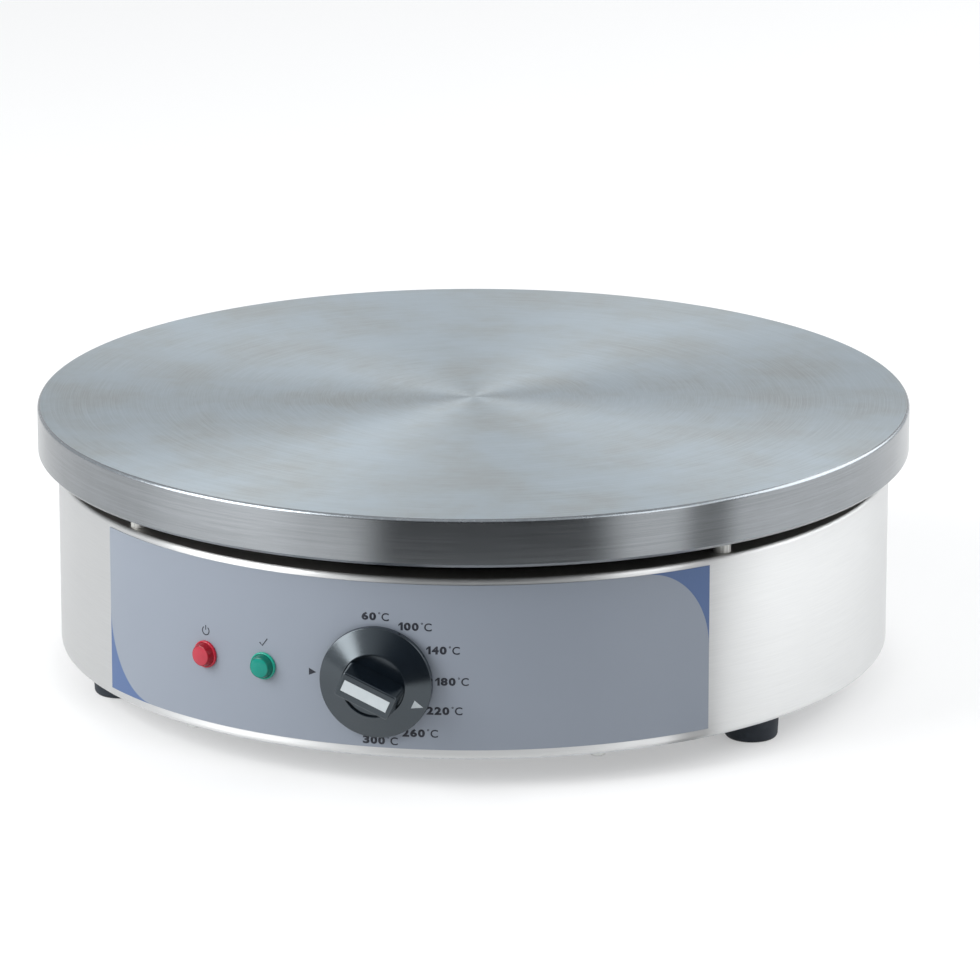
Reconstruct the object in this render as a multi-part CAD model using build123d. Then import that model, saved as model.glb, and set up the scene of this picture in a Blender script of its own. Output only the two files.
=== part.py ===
from build123d import *
import os
from math import cos, radians, sin, sqrt

# Round electric crepe maker.  A cast-iron griddle plate stands on four spacer posts above a drum
# of stainless sheet.  Slung inside the drum are the tubular heater, its clamp disc, the insulation
# and a pan.  A capillary thermostat sits behind the front knob, beside two indicator lamps, and a
# cable gland and a terminal block are at the rear.
#
# Millimetres.  +Z is up, the front faces -Y, and the origin is the centre of the standing plane.
# An azimuth is measured in degrees from the front towards +X.

# ---------------------------------------------------------------- driving dimensions

# Clearances
RUN_GAP = 0.05          # radial, a turning shaft in its bearing
THREAD_GAP = 0.05       # radial, a screw thread in its tapped hole
HOLE_GAP = 0.3          # radial, a screw, stud or sheath in a clearance hole
SEAT_GAP = 0.1          # between a curved face and what it rests on
NEST_GAP = 0.4          # radial, the insulation inside its pan

# Griddle plate
PLATE_R = 200.0
PLATE_RIM_H = 22.0
PLATE_T = 12.0          # thickness of the griddle within the rim
PLATE_LAND_IN = 8.2     # how far the rim reaches inside the posts that carry it
PLATE_EDGE_R = 1.8      # rounding of the top edge
PLATE_CHAMFER = 1.5     # chamfer of the bottom edge
PLATE_ROOT_R = 4.0      # casting fillet between the rim and the underside
RIB_T = 5.0
RIB_H = 6.0
OUTER_RIBS = 12
INNER_RIBS = 6
HUB_R = 16.0            # cast boss in the middle of the underside
HUB_H = 7.0

# Spacer posts, which carry the plate
POST_R = 3.9
POST_H = 7.5            # air gap between the housing and the plate
POST_INSET = 6.6        # from the housing's side to the posts' axes
POST_AZIMUTH = 49.0
POSTS = 4
STUD_R = 2.5
STUD_IN_PLATE = 12.0    # thread engagement in the rim
STUD_TIP = 2.0          # thread that shows past a nut
NUT_AF = 8.0
NUT_H = 4.0
NUT_FLANGE_R = 4.7
NUT_FLANGE_T = 1.2

# Drum housing
PLATE_OVERHANG = 9.2    # how far the plate stands out past the housing
HOUSING_H = 82.3
SHEET_T = 1.0
TOP_BEND_R = 1.4        # to the middle of the sheet
BOTTOM_BEND_R = 1.5
TOP_FLANGE_W = 26.8
BOTTOM_FLANGE_W = 14.0

# Base plate, pressed up in the middle
BASE_T = 1.0
BASE_INSET = 3.3        # how far its edge lies inside the drum
BASE_RIM_W = 43.8       # flat rim round the pressing
BASE_PRESSED_H = 4.0
BASE_SLOPE_W = 7.0
BASE_BEND_R = 3.0
VENTS = 12
VENT_L = 34.0
VENT_W = 5.0
VENT_GAP = 6.0          # from the vents' outer ends to the terminal block
BASE_SCREWS = 6
BASE_SCREW_INSET = 8.3
BASE_SCREW_R = 2.0
BASE_SCREW_HEAD_R = 3.6
BASE_SCREW_HEAD_H = 2.2
CLINCH_R = 3.8
CLINCH_H = 3.5

# Feet
FEET = 3
FOOT_H = 13.2
FOOT_R = 12.6
FOOT_SOLE_R = 11.8
FOOT_EDGE_R = 2.0
FOOT_INSET = 21.8
FOOT_AZIMUTH = 60.0
FOOT_WELL_R = 6.0       # counterbore that takes the screw head
FOOT_WELL_H = 6.0
FOOT_SCREW_HEAD_R = 4.8
FOOT_SCREW_HEAD_H = 3.2

# Heating element
SHEATH_R = 4.25
OUTER_RING_INSET = 38.0  # from the plate's rim to the outer ring
RING_SPACING = 50.0
UTURN_AZIMUTH = 24.0    # from the rear, where the two rings join
LEG_AZIMUTH = 8.0       # from the rear, where both ends turn down
LEG_BEND_R = 12.0
LEG_BELOW_PAN = 8.0
PIN_R = 1.6
PIN_L = 12.0
PIN_COLLAR_R = 3.4
PIN_COLLAR_H = 3.0

# Clamp disc and its studs
CLAMP_T = 1.5
CLAMP_MARGIN_IN = 28.0  # from the inner ring to the disc's inner edge
CLAMP_MARGIN_OUT = 14.0
CLAMP_WINDOW_ARC = 52.0
CLAMP_WINDOW_W = 20.0
CLAMP_STUDS = 4
CLAMP_STUD_R = 3.0
CLAMP_STUD_IN_PLATE = 8.0
CLAMP_BOSS_R = 7.0
CLAMP_BOSS_H = 6.0
CLAMP_NUT_AF = 10.0
CLAMP_NUT_H = 5.0

# Insulation and pan
INSULATION_T = 20.0
PAN_T = 0.8
PAN_CORNER_R = 6.0
PAN_BEND_R = 1.0
PAN_LIP_GAP = 3.5       # from the outside of the upturned lip to the posts
PAN_LIP_H = 4.8         # above the housing
PAN_RIVETS = 6
RIVET_R = 1.9
RIVET_HEAD_R = 3.2
RIVET_HEAD_H = 1.0

# Front label
LABEL_HALF_ANGLE = 45.4
LABEL_H = 75.1
LABEL_T = 0.3
LABEL_ABOVE_HEM = 4.3
LABEL_KNOB_HOLE_R = 18.5
ADHESIVE_T = 0.05

# Height of the controls, above the housing's lower edge
CONTROL_H = 34.8

# Knob
KNOB_GAP = 0.8
KNOB_R = 25.1
KNOB_RIM_H = 2.6
KNOB_HUB_R = 13.8       # where the cone meets the recessed ledges
KNOB_CONE_H = 8.0
KNOB_LEDGE_H = 6.4
KNOB_WALL = 1.8
KNOB_H = 22.0
KNOB_EDGE_R = 0.6
GRIP_L = 25.5
GRIP_W = 11.4
GRIP_DRAFT = 2.0        # degrees
GRIP_EDGE_R = 0.8
GRIP_ANGLE = 114.0      # where it points at rest, clockwise from 12 o'clock
INLAY_L = 21.8
INLAY_W = 5.2
INLAY_T = 0.8
INLAY_GAP = 0.05
POINTER_TIP_R = 23.5
POINTER_BASE_R = 19.0
POINTER_HALF_W = 2.0
POINTER_T = 0.5
STEM_R = 7.5            # moulded sleeve round the spindle
STEM_SETBACK = 0.8
CLIP_T = 0.8
CLIP_W = 1.6
CLIP_MOUTH = 60.0       # degrees

# Thermostat
SPINDLE_R = 3.0
SPINDLE_FLAT = 2.0      # from the axis to the flat
SPINDLE_FLAT_L = 11.0
SPINDLE_IN_KNOB = 15.0
SPINDLE_IN_BODY = 12.0
BUSHING_R = 5.0
BUSHING_PROUD = 1.0     # past the label
MOUNT_W = 44.0
MOUNT_H = 30.0
MOUNT_T = 1.5
MOUNT_GAP = 0.3
MOUNT_SCREW_X = 14.0
MOUNT_SCREW_R = 2.0
MOUNT_SCREW_HEAD_R = 3.4
MOUNT_SCREW_HEAD_H = 1.3
THERMOSTAT_W = 40.0
THERMOSTAT_H = 34.0
THERMOSTAT_D = 24.0
BLADE_W = 6.3
BLADE_T = 0.8
BLADE_L = 8.0
BLADE_X = 11.0
BLADE_Z = 8.0

# Sensing bulb and capillary
BULB_R = 3.0
BULB_L = 80.0
BULB_INSET = 13.0       # from the middle between the rings towards the plate's centre
BULB_CLIP_W = 12.0
BULB_CLIP_L = 22.0
BULB_CLIP_T = 0.5
CAPILLARY_R = 0.9
CAPILLARY_RUN = 14.0    # from the bulb's end to the drop
CAPILLARY_BEND_R = 5.0
CAPILLARY_BELOW_PAN = 3.0
CAPILLARY_HOLE_R = 3.0

# Indicator lamps
LAMP_AZIMUTHS = (-25.4, -16.1)
LAMP_RISE = 0.9         # above the knob's axis
LAMP_FLANGE_R = 6.15
LAMP_FLANGE_T = 1.2
LAMP_LENS_R = 4.9
LAMP_LENS_H = 4.6
LAMP_LENS_EDGE_R = 0.8
LAMP_NECK_R = 5.0
LAMP_NECK_L = 5.0
LAMP_BORE_R = 3.6
LAMP_FACE_T = 1.2
LAMP_BODY_L = 17.0
LAMP_BULB_R = 2.2
LAMP_RING_R = 8.5
LAMP_RING_T = 0.8
LAMP_BLADE_W = 2.8
LAMP_BLADE_X = 2.4

# Safety cut-out, under the pan
CUTOUT_X = 62.0
CUTOUT_Y = 20.0         # behind the centre
CUTOUT_R = 8.0
CUTOUT_H = 9.0
CUTOUT_EAR_L = 32.0
CUTOUT_EAR_W = 9.0
CUTOUT_EAR_T = 1.2
CUTOUT_HOLE_X = 12.0
CUTOUT_SCREW_R = 1.6
CUTOUT_SCREW_HEAD_R = 2.8
CUTOUT_SCREW_HEAD_H = 1.6

# Terminal block
BLOCK_INSET = 55.0      # from the block's middle to the edge of the base plate's pressing
BLOCK_WAYS = 5
BLOCK_PITCH = 11.0
BLOCK_D = 22.0
BLOCK_H = 16.0
BLOCK_FOOT_L = 8.0
BLOCK_FOOT_H = 5.0
BLOCK_WIRE_R = 2.2
BLOCK_SCREW_R = 1.8
BLOCK_SCREW_HEAD_R = 2.8
BLOCK_SCREW_L = 6.0

# Earth stud
EARTH_X = 58.0
EARTH_STUD_L = 22.0

# Leads
LEAD_R = 1.5
LEAD_FLOOR_GAP = 0.5
LEAD_RUN = 22.0         # straight run out of a blade or the terminal block
LEAD_BEND_R = 7.5
LEAD_TIGHT_BEND_R = 4.5

# Cable gland, at the rear
GLAND_AF = 24.0
GLAND_FLANGE_T = 6.0
GLAND_NECK_R = 10.0
GLAND_NECK_L = 12.0
GLAND_NOSE_R = 8.8
GLAND_NOSE_L = 5.0
GLAND_BORE_R = 6.6
GLAND_CORD_R = 5.5
GLAND_SEAL_L = 9.0
GLAND_DOME_R = 8.6      # at its open end
GLAND_DOME_HEX_L = 8.0
GLAND_LOCKNUT_AF = 27.0
GLAND_LOCKNUT_T = 4.5

# ---------------------------------------------------------------- derived heights and radii

HOUSING_Z = FOOT_H + BASE_T
HOUSING_TOP = HOUSING_Z + HOUSING_H
PLATE_Z = HOUSING_TOP + POST_H
PLATE_TOP = PLATE_Z + PLATE_RIM_H
PLATE_UNDER = PLATE_TOP - PLATE_T

HOUSING_R = PLATE_R - PLATE_OVERHANG
POST_CIRCLE_R = HOUSING_R - POST_INSET
TOP_OPENING_R = HOUSING_R - TOP_FLANGE_W
PAN_LIP_R = POST_CIRCLE_R - POST_R - PAN_LIP_GAP
PLATE_LAND_R = POST_CIRCLE_R - PLATE_LAND_IN
OUTER_RING_R = PLATE_LAND_R - OUTER_RING_INSET
INNER_RING_R = OUTER_RING_R - RING_SPACING
CLAMP_OUT_R = OUTER_RING_R + CLAMP_MARGIN_OUT
CLAMP_IN_R = INNER_RING_R - CLAMP_MARGIN_IN
CLAMP_CIRCLE_R = (INNER_RING_R + OUTER_RING_R) / 2
BULB_Y = CLAMP_CIRCLE_R - BULB_INSET
RIVET_CIRCLE_R = (TOP_OPENING_R + PAN_LIP_R) / 2
BASE_R = HOUSING_R - BASE_INSET
BASE_PRESSED_R = BASE_R - BASE_RIM_W - BASE_SLOPE_W
BASE_SCREW_CIRCLE_R = HOUSING_R - BASE_SCREW_INSET
FOOT_CIRCLE_R = HOUSING_R - FOOT_INSET

ELEMENT_Z = PLATE_UNDER - SEAT_GAP - SHEATH_R
CLAMP_TOP = ELEMENT_Z - SHEATH_R - SEAT_GAP
CLAMP_Z = CLAMP_TOP - CLAMP_T
INSULATION_Z = CLAMP_Z - SEAT_GAP - INSULATION_T
PAN_Z = INSULATION_Z - PAN_T

PANEL_IN_R = HOUSING_R - SHEET_T
LABEL_R = HOUSING_R + ADHESIVE_T + LABEL_T
CONTROL_Z = HOUSING_Z + CONTROL_H
LAMP_Z = CONTROL_Z + LAMP_RISE
KNOB_BACK = LABEL_R + KNOB_GAP
KNOB_FRONT = KNOB_BACK + KNOB_H
SPINDLE_END = KNOB_BACK + SPINDLE_IN_KNOB
MOUNT_FACE = sqrt(PANEL_IN_R ** 2 - (MOUNT_W / 2) ** 2) - MOUNT_GAP
THERMOSTAT_FACE = MOUNT_FACE - MOUNT_T
BASE_FLOOR = HOUSING_Z + BASE_PRESSED_H
BLOCK_Y = BASE_PRESSED_R - BLOCK_INSET

POST_AZIMUTHS = [POST_AZIMUTH + 360 / POSTS * i for i in range(POSTS)]
RIVET_AZIMUTHS = [POST_AZIMUTH - 180 / POSTS + 360 / PAN_RIVETS * i for i in range(PAN_RIVETS)]
FOOT_AZIMUTHS = [FOOT_AZIMUTH + 360 / FEET * i for i in range(FEET)]
BASE_SCREW_AZIMUTHS = [180 / BASE_SCREWS + 360 / BASE_SCREWS * i for i in range(BASE_SCREWS)]
CLAMP_AZIMUTHS = [45 + 360 / CLAMP_STUDS * i for i in range(CLAMP_STUDS)]

# ---------------------------------------------------------------- helpers

os.makedirs("parts", exist_ok=True)
UP = (Align.CENTER, Align.CENTER, Align.MIN)


def save(name, *shapes):
    """Writes the solids of the given shapes as one node."""
    solids = [solid for shape in shapes for solid in shape.solids()]
    export_step(Compound(children=solids), f"parts/{name}.step")


def spot(azimuth, radius, z=0.0):
    """A place at an azimuth and a radius from the drum's axis, still upright."""
    return Pos(radius * sin(radians(azimuth)), -radius * cos(radians(azimuth)), z)


def panel(azimuth, z):
    """A place on the drum's axis whose +Z points out through the panel, with +Y up."""
    out = (sin(radians(azimuth)), -cos(radians(azimuth)), 0)
    across = (cos(radians(azimuth)), sin(radians(azimuth)), 0)
    return Plane(origin=(0, 0, z), x_dir=across, z_dir=out)


def rod(radius, z0, z1):
    return Pos(0, 0, z0) * Cylinder(radius, z1 - z0, align=UP)


def tube(radius, bore, z0, z1):
    return rod(radius, z0, z1) - rod(bore, z0, z1)


def hex_bar(across_flats, z0, z1):
    return Pos(0, 0, z0) * extrude(RegularPolygon(across_flats / 2, 6, major_radius=False), z1 - z0)


def slab(length, width, z0, z1, corner_r=0.0):
    """An upright block, with its four vertical corners rounded."""
    outline = RectangleRounded(length, width, corner_r) if corner_r else Rectangle(length, width)
    return Pos(0, 0, z0) * extrude(outline, z1 - z0)


def turned(*points):
    """A solid turned about the Z axis from a closed outline of (radius, z) points."""
    return revolve(Plane.XZ * make_face(Polyline(*points, close=True)), Axis.Z, 360)


def pressed_sheet(points, thickness, bend_radii):
    """A round sheet pressing: its middle line in (radius, z) points, with a radius at each bend."""
    return revolve(Plane.XZ * trace(FilletPolyline(*points, radius=bend_radii), thickness), Axis.Z, 360)


def corner(outline, x, y):
    """The vertex of an outline that lies nearest to a point."""
    return outline.vertices().sort_by_distance((x, y, 0))[0]


def flange_nut(z_face, across_flats, height, flange_r, flange_t, bore_r):
    """A hexagon nut whose own washer face lies on top, at z_face, with the nut below it."""
    nut = rod(flange_r, z_face - flange_t, z_face)
    nut += hex_bar(across_flats, z_face - height, z_face - flange_t)
    return nut - rod(bore_r, z_face - height, z_face)


def pan_head_screw(shank_r, head_r, head_h, z_seat, z_tip):
    """A screw with a rounded head.  The head lies beyond z_seat on the far side from z_tip."""
    side = 1 if z_seat > z_tip else -1
    head = Cylinder(head_r, head_h, align=UP)
    head = fillet(head.edges().sort_by(Axis.Z)[-1], head_h * 0.55)
    if side < 0:
        head = mirror(head, Plane.XY)
    return Pos(0, 0, z_seat) * head + rod(shank_r, min(z_seat, z_tip), max(z_seat, z_tip))


# ---------------------------------------------------------------- griddle plate

# The casting: a thick rim, machined outside, round a thinner griddle.
outline = make_face(Polyline(
    (0, PLATE_TOP), (PLATE_R, PLATE_TOP), (PLATE_R, PLATE_Z),
    (PLATE_LAND_R, PLATE_Z), (PLATE_LAND_R, PLATE_UNDER), (0, PLATE_UNDER), close=True))
outline = fillet(corner(outline, PLATE_R, PLATE_TOP), PLATE_EDGE_R)
outline = chamfer(corner(outline, PLATE_R, PLATE_Z), PLATE_CHAMFER)
outline = fillet(corner(outline, PLATE_LAND_R, PLATE_UNDER), PLATE_ROOT_R)
cooking_plate = revolve(Plane.XZ * outline, Axis.Z, 360)

# Hub, radial ribs and bosses cast under the griddle.  The ribs stop short of the heater.
rib_start = OUTER_RING_R + SHEATH_R + RIB_T
hub_rib_end = INNER_RING_R - SHEATH_R - RIB_T


def radial_rib(r0, r1, slope0, slope1):
    """A rib under the griddle from r0 to r1, with its ends sloped inwards by slope0 and slope1."""
    side = Polyline((r0, PLATE_UNDER), (r1, PLATE_UNDER), (r1 - slope1, PLATE_UNDER - RIB_H),
                    (r0 + slope0, PLATE_UNDER - RIB_H), close=True)
    return extrude(Plane.XZ * make_face(side), RIB_T / 2, both=True)


cooking_plate += rod(HUB_R, PLATE_UNDER - HUB_H, PLATE_UNDER)
for i in range(OUTER_RIBS):
    rib = radial_rib(rib_start, PLATE_LAND_R + PLATE_CHAMFER, RIB_H, 0)
    cooking_plate += Rot(0, 0, 360 / OUTER_RIBS * (i + 0.5)) * rib
for i in range(INNER_RIBS):
    rib = radial_rib(HUB_R - PLATE_CHAMFER, hub_rib_end, 0, RIB_H)
    cooking_plate += Rot(0, 0, 360 / INNER_RIBS * i) * rib
for azimuth in CLAMP_AZIMUTHS:
    boss = rod(CLAMP_BOSS_R, PLATE_UNDER - CLAMP_BOSS_H, PLATE_UNDER)
    hole = rod(CLAMP_STUD_R + THREAD_GAP, PLATE_UNDER - CLAMP_BOSS_H, PLATE_UNDER + CLAMP_STUD_IN_PLATE)
    cooking_plate += spot(azimuth, CLAMP_CIRCLE_R) * boss
    cooking_plate -= spot(azimuth, CLAMP_CIRCLE_R) * hole
for azimuth in POST_AZIMUTHS:
    cooking_plate -= spot(azimuth, POST_CIRCLE_R) * rod(STUD_R + THREAD_GAP, PLATE_Z, PLATE_Z + STUD_IN_PLATE)
save("cooking_plate", cooking_plate)

# ---------------------------------------------------------------- posts, studs and nuts

flange_under = HOUSING_TOP - SHEET_T
post = tube(POST_R, STUD_R + HOLE_GAP, HOUSING_TOP, PLATE_Z)
stud = rod(STUD_R, flange_under - NUT_H - STUD_TIP, PLATE_Z + STUD_IN_PLATE)
nut = hex_bar(NUT_AF, flange_under - NUT_H, flange_under)
nut -= rod(STUD_R + THREAD_GAP, flange_under - NUT_H, flange_under)
save("spacer_posts", *[spot(a, POST_CIRCLE_R) * post for a in POST_AZIMUTHS])
save("plate_studs", *[spot(a, POST_CIRCLE_R) * stud for a in POST_AZIMUTHS])
save("plate_nuts", *[spot(a, POST_CIRCLE_R) * nut for a in POST_AZIMUTHS])

# ---------------------------------------------------------------- drum housing

# One rolled sheet with its top edge turned in under the plate and its hem turned in over the base.
mid_r = HOUSING_R - SHEET_T / 2
housing_shell = pressed_sheet(
    [(TOP_OPENING_R, HOUSING_TOP - SHEET_T / 2), (mid_r, HOUSING_TOP - SHEET_T / 2),
     (mid_r, HOUSING_Z + SHEET_T / 2), (HOUSING_R - BOTTOM_FLANGE_W, HOUSING_Z + SHEET_T / 2)],
    SHEET_T, [TOP_BEND_R, BOTTOM_BEND_R])

for azimuth in POST_AZIMUTHS:
    housing_shell -= spot(azimuth, POST_CIRCLE_R) * rod(STUD_R + HOLE_GAP, flange_under, HOUSING_TOP)
for azimuth in RIVET_AZIMUTHS:
    housing_shell -= spot(azimuth, RIVET_CIRCLE_R) * rod(RIVET_R + THREAD_GAP, flange_under, HOUSING_TOP)
for azimuth in BASE_SCREW_AZIMUTHS:
    hole = rod(BASE_SCREW_R + HOLE_GAP, HOUSING_Z, HOUSING_Z + SHEET_T)
    housing_shell -= spot(azimuth, BASE_SCREW_CIRCLE_R) * hole

# Panel holes, each drilled square to the sheet.
panel_hole_reach = (PANEL_IN_R - MOUNT_GAP - NUT_H, HOUSING_R + NUT_H)
for azimuth in LAMP_AZIMUTHS:
    housing_shell -= panel(azimuth, LAMP_Z) * rod(LAMP_NECK_R + HOLE_GAP, *panel_hole_reach)
housing_shell -= panel(0, CONTROL_Z) * rod(BUSHING_R + HOLE_GAP, *panel_hole_reach)
for x in (-MOUNT_SCREW_X, MOUNT_SCREW_X):
    housing_shell -= panel(0, CONTROL_Z) * Pos(x, 0, 0) * rod(MOUNT_SCREW_R + HOLE_GAP, *panel_hole_reach)
housing_shell -= panel(180, CONTROL_Z) * rod(GLAND_NECK_R + HOLE_GAP, *panel_hole_reach)
save("housing_shell", housing_shell)

# ---------------------------------------------------------------- base plate

base_mid = FOOT_H + BASE_T / 2
base_plate = pressed_sheet(
    [(0, base_mid + BASE_PRESSED_H), (BASE_PRESSED_R, base_mid + BASE_PRESSED_H),
     (BASE_PRESSED_R + BASE_SLOPE_W, base_mid), (BASE_R, base_mid)],
    BASE_T, [BASE_BEND_R, BASE_BEND_R])
vent_middle_r = BLOCK_Y - BLOCK_D / 2 - VENT_GAP - VENT_L / 2
vent = Pos(vent_middle_r, 0, FOOT_H) * extrude(SlotOverall(VENT_L, VENT_W), BASE_PRESSED_H * 2)
for i in range(VENTS):
    base_plate -= Rot(0, 0, 360 / VENTS * i) * vent
for azimuth in BASE_SCREW_AZIMUTHS:
    base_plate -= spot(azimuth, BASE_SCREW_CIRCLE_R) * rod(BASE_SCREW_R + HOLE_GAP, FOOT_H, HOUSING_Z)
for azimuth in FOOT_AZIMUTHS:
    base_plate -= spot(azimuth, FOOT_CIRCLE_R) * rod(STUD_R + HOLE_GAP, FOOT_H, HOUSING_Z)

# Screws from below into nuts clinched on the housing's hem.
clinch_top = HOUSING_Z + SHEET_T + CLINCH_H
base_screw = pan_head_screw(BASE_SCREW_R, BASE_SCREW_HEAD_R, BASE_SCREW_HEAD_H, FOOT_H, clinch_top)
clinch_nut = tube(CLINCH_R, BASE_SCREW_R + THREAD_GAP, HOUSING_Z + SHEET_T, clinch_top)
save("base_screws", *[spot(a, BASE_SCREW_CIRCLE_R) * base_screw for a in BASE_SCREW_AZIMUTHS])
save("clinch_nuts", *[spot(a, BASE_SCREW_CIRCLE_R) * clinch_nut for a in BASE_SCREW_AZIMUTHS])

# ---------------------------------------------------------------- feet

outline = make_face(Polyline(
    (STUD_R + HOLE_GAP, FOOT_H), (FOOT_R, FOOT_H), (FOOT_SOLE_R, 0), (FOOT_WELL_R, 0),
    (FOOT_WELL_R, FOOT_WELL_H), (STUD_R + HOLE_GAP, FOOT_WELL_H), close=True))
outline = fillet(corner(outline, FOOT_SOLE_R, 0), FOOT_EDGE_R)
foot = revolve(Plane.XZ * outline, Axis.Z, 360)
foot_nut_top = HOUSING_Z + NUT_H
foot_screw = pan_head_screw(
    STUD_R, FOOT_SCREW_HEAD_R, FOOT_SCREW_HEAD_H, FOOT_WELL_H, foot_nut_top + STUD_TIP)
foot_nut = mirror(flange_nut(0, NUT_AF, NUT_H, NUT_FLANGE_R, NUT_FLANGE_T, STUD_R + THREAD_GAP), Plane.XY)
foot_nut = Pos(0, 0, HOUSING_Z) * foot_nut
save("feet", *[spot(a, FOOT_CIRCLE_R) * foot for a in FOOT_AZIMUTHS])
save("foot_screws", *[spot(a, FOOT_CIRCLE_R) * foot_screw for a in FOOT_AZIMUTHS])
save("foot_nuts", *[spot(a, FOOT_CIRCLE_R) * foot_nut for a in FOOT_AZIMUTHS])

# ---------------------------------------------------------------- heating element

# One sheathed tube: up a leg, almost once round the inner ring, back round the outer ring by way
# of a U-turn, and down the other leg.  Both legs stand side by side near the rear.
leg_angle = 90 + LEG_AZIMUTH
uturn_angle = 450 - UTURN_AZIMUTH
leg_end_z = PAN_Z - LEG_BELOW_PAN


def ring_point(radius, angle):
    return Vector(radius * cos(radians(angle)), radius * sin(radians(angle)), ELEMENT_Z)


def along_ring(angle):
    return Vector(-sin(radians(angle)), cos(radians(angle)), 0)


def leg(radius):
    """The bend and the straight end that drop from a ring, as edges, and the leg's centre."""
    start = ring_point(radius, leg_angle)
    back = along_ring(leg_angle) * -LEG_BEND_R
    centre = start - Vector(0, 0, LEG_BEND_R)
    slant = (back.normalized() + Vector(0, 0, 1)).normalized() * LEG_BEND_R
    top = centre + back
    foot_of_leg = Vector(top.X, top.Y, leg_end_z)
    return ThreePointArc(start, centre + slant, top), Line(top, foot_of_leg), foot_of_leg


uturn_r = (OUTER_RING_R - INNER_RING_R) / 2
uturn_tip = ring_point(CLAMP_CIRCLE_R, uturn_angle) + along_ring(uturn_angle) * uturn_r
inner_bend, inner_leg, inner_foot = leg(INNER_RING_R)
outer_bend, outer_leg, outer_foot = leg(OUTER_RING_R)
sweep_angle = uturn_angle - leg_angle
element_path = Wire([
    *inner_leg.edges(), *inner_bend.edges(),
    *CenterArc((0, 0, ELEMENT_Z), INNER_RING_R, leg_angle, sweep_angle).edges(),
    *ThreePointArc(ring_point(INNER_RING_R, uturn_angle), uturn_tip,
                   ring_point(OUTER_RING_R, uturn_angle)).edges(),
    *CenterArc((0, 0, ELEMENT_Z), OUTER_RING_R, uturn_angle, -sweep_angle).edges(),
    *outer_bend.edges(), *outer_leg.edges()])
sheath_face = Plane(origin=inner_foot, z_dir=(0, 0, 1)) * Circle(SHEATH_R)
heating_element = sweep(sheath_face, path=element_path)
save("heating_element", heating_element)

# A ceramic collar and a steel pin at each end.
leg_spots = [Pos(foot_point.X, foot_point.Y, 0) for foot_point in (inner_foot, outer_foot)]


def leg_slot(place, z0, z1):
    """A slot that lets a leg and the bend above it through."""
    outline = SlotCenterToCenter(LEG_BEND_R, 2 * (SHEATH_R + HOLE_GAP))
    return place * Rot(0, 0, leg_angle + 90) * Pos(LEG_BEND_R / 2, 0, z0) * extrude(outline, z1 - z0)


pin = rod(PIN_R, leg_end_z - PIN_L, leg_end_z) + rod(PIN_COLLAR_R, leg_end_z - PIN_COLLAR_H, leg_end_z)
save("element_pins", *[place * pin for place in leg_spots])

# ---------------------------------------------------------------- clamp disc

# Windows save weight at the sides and the rear.  The front stays whole to back the sensing bulb.
clamp_disc = tube(CLAMP_OUT_R, CLAMP_IN_R, CLAMP_Z, CLAMP_TOP)
for middle in (0, 90, 180):
    window_arc = CenterArc((0, 0), CLAMP_CIRCLE_R, middle - CLAMP_WINDOW_ARC / 2, CLAMP_WINDOW_ARC)
    clamp_disc -= Pos(0, 0, CLAMP_Z) * extrude(SlotArc(window_arc, CLAMP_WINDOW_W), CLAMP_T)
for azimuth in CLAMP_AZIMUTHS:
    clamp_disc -= spot(azimuth, CLAMP_CIRCLE_R) * rod(CLAMP_STUD_R + HOLE_GAP, CLAMP_Z, CLAMP_TOP)
for place in leg_spots:
    clamp_disc -= leg_slot(place, CLAMP_Z, CLAMP_TOP)

capillary_x = BULB_L / 2 + CAPILLARY_RUN
capillary_spot = Pos(capillary_x, -BULB_Y, 0)
clamp_disc -= capillary_spot * rod(CAPILLARY_HOLE_R, CLAMP_Z, CLAMP_TOP)
save("clamp_disc", clamp_disc)

clamp_stud = rod(CLAMP_STUD_R, CLAMP_Z - CLAMP_NUT_H - STUD_TIP, PLATE_UNDER + CLAMP_STUD_IN_PLATE)
clamp_nut = hex_bar(CLAMP_NUT_AF, CLAMP_Z - CLAMP_NUT_H, CLAMP_Z)
clamp_nut -= rod(CLAMP_STUD_R + THREAD_GAP, CLAMP_Z - CLAMP_NUT_H, CLAMP_Z)
save("clamp_studs", *[spot(a, CLAMP_CIRCLE_R) * clamp_stud for a in CLAMP_AZIMUTHS])
save("clamp_nuts", *[spot(a, CLAMP_CIRCLE_R) * clamp_nut for a in CLAMP_AZIMUTHS])

# ---------------------------------------------------------------- inner pan and its rivets

# The pan hangs by its flange on the housing, and its lip shows in the gap under the plate.
pan_wall_r = TOP_OPENING_R - SEAT_GAP - PAN_BEND_R
pan_lip_mid = PAN_LIP_R - PAN_T / 2
inner_pan = pressed_sheet(
    [(0, PAN_Z + PAN_T / 2), (pan_wall_r, PAN_Z + PAN_T / 2), (pan_wall_r, HOUSING_TOP + PAN_T / 2),
     (pan_lip_mid, HOUSING_TOP + PAN_T / 2), (pan_lip_mid, HOUSING_TOP + PAN_LIP_H)],
    PAN_T, [PAN_CORNER_R, PAN_BEND_R, PAN_BEND_R])
for azimuth in RIVET_AZIMUTHS:
    hole = rod(RIVET_R + THREAD_GAP, HOUSING_TOP, HOUSING_TOP + PAN_T)
    inner_pan -= spot(azimuth, RIVET_CIRCLE_R) * hole
for place in leg_spots:
    inner_pan -= place * rod(SHEATH_R + HOLE_GAP, PAN_Z, INSULATION_Z)
inner_pan -= capillary_spot * rod(CAPILLARY_HOLE_R, PAN_Z, INSULATION_Z)
for x in (-CUTOUT_HOLE_X, CUTOUT_HOLE_X):
    inner_pan -= Pos(CUTOUT_X + x, CUTOUT_Y, 0) * rod(CUTOUT_SCREW_R + THREAD_GAP, PAN_Z, INSULATION_Z)
save("inner_pan", inner_pan)

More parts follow.
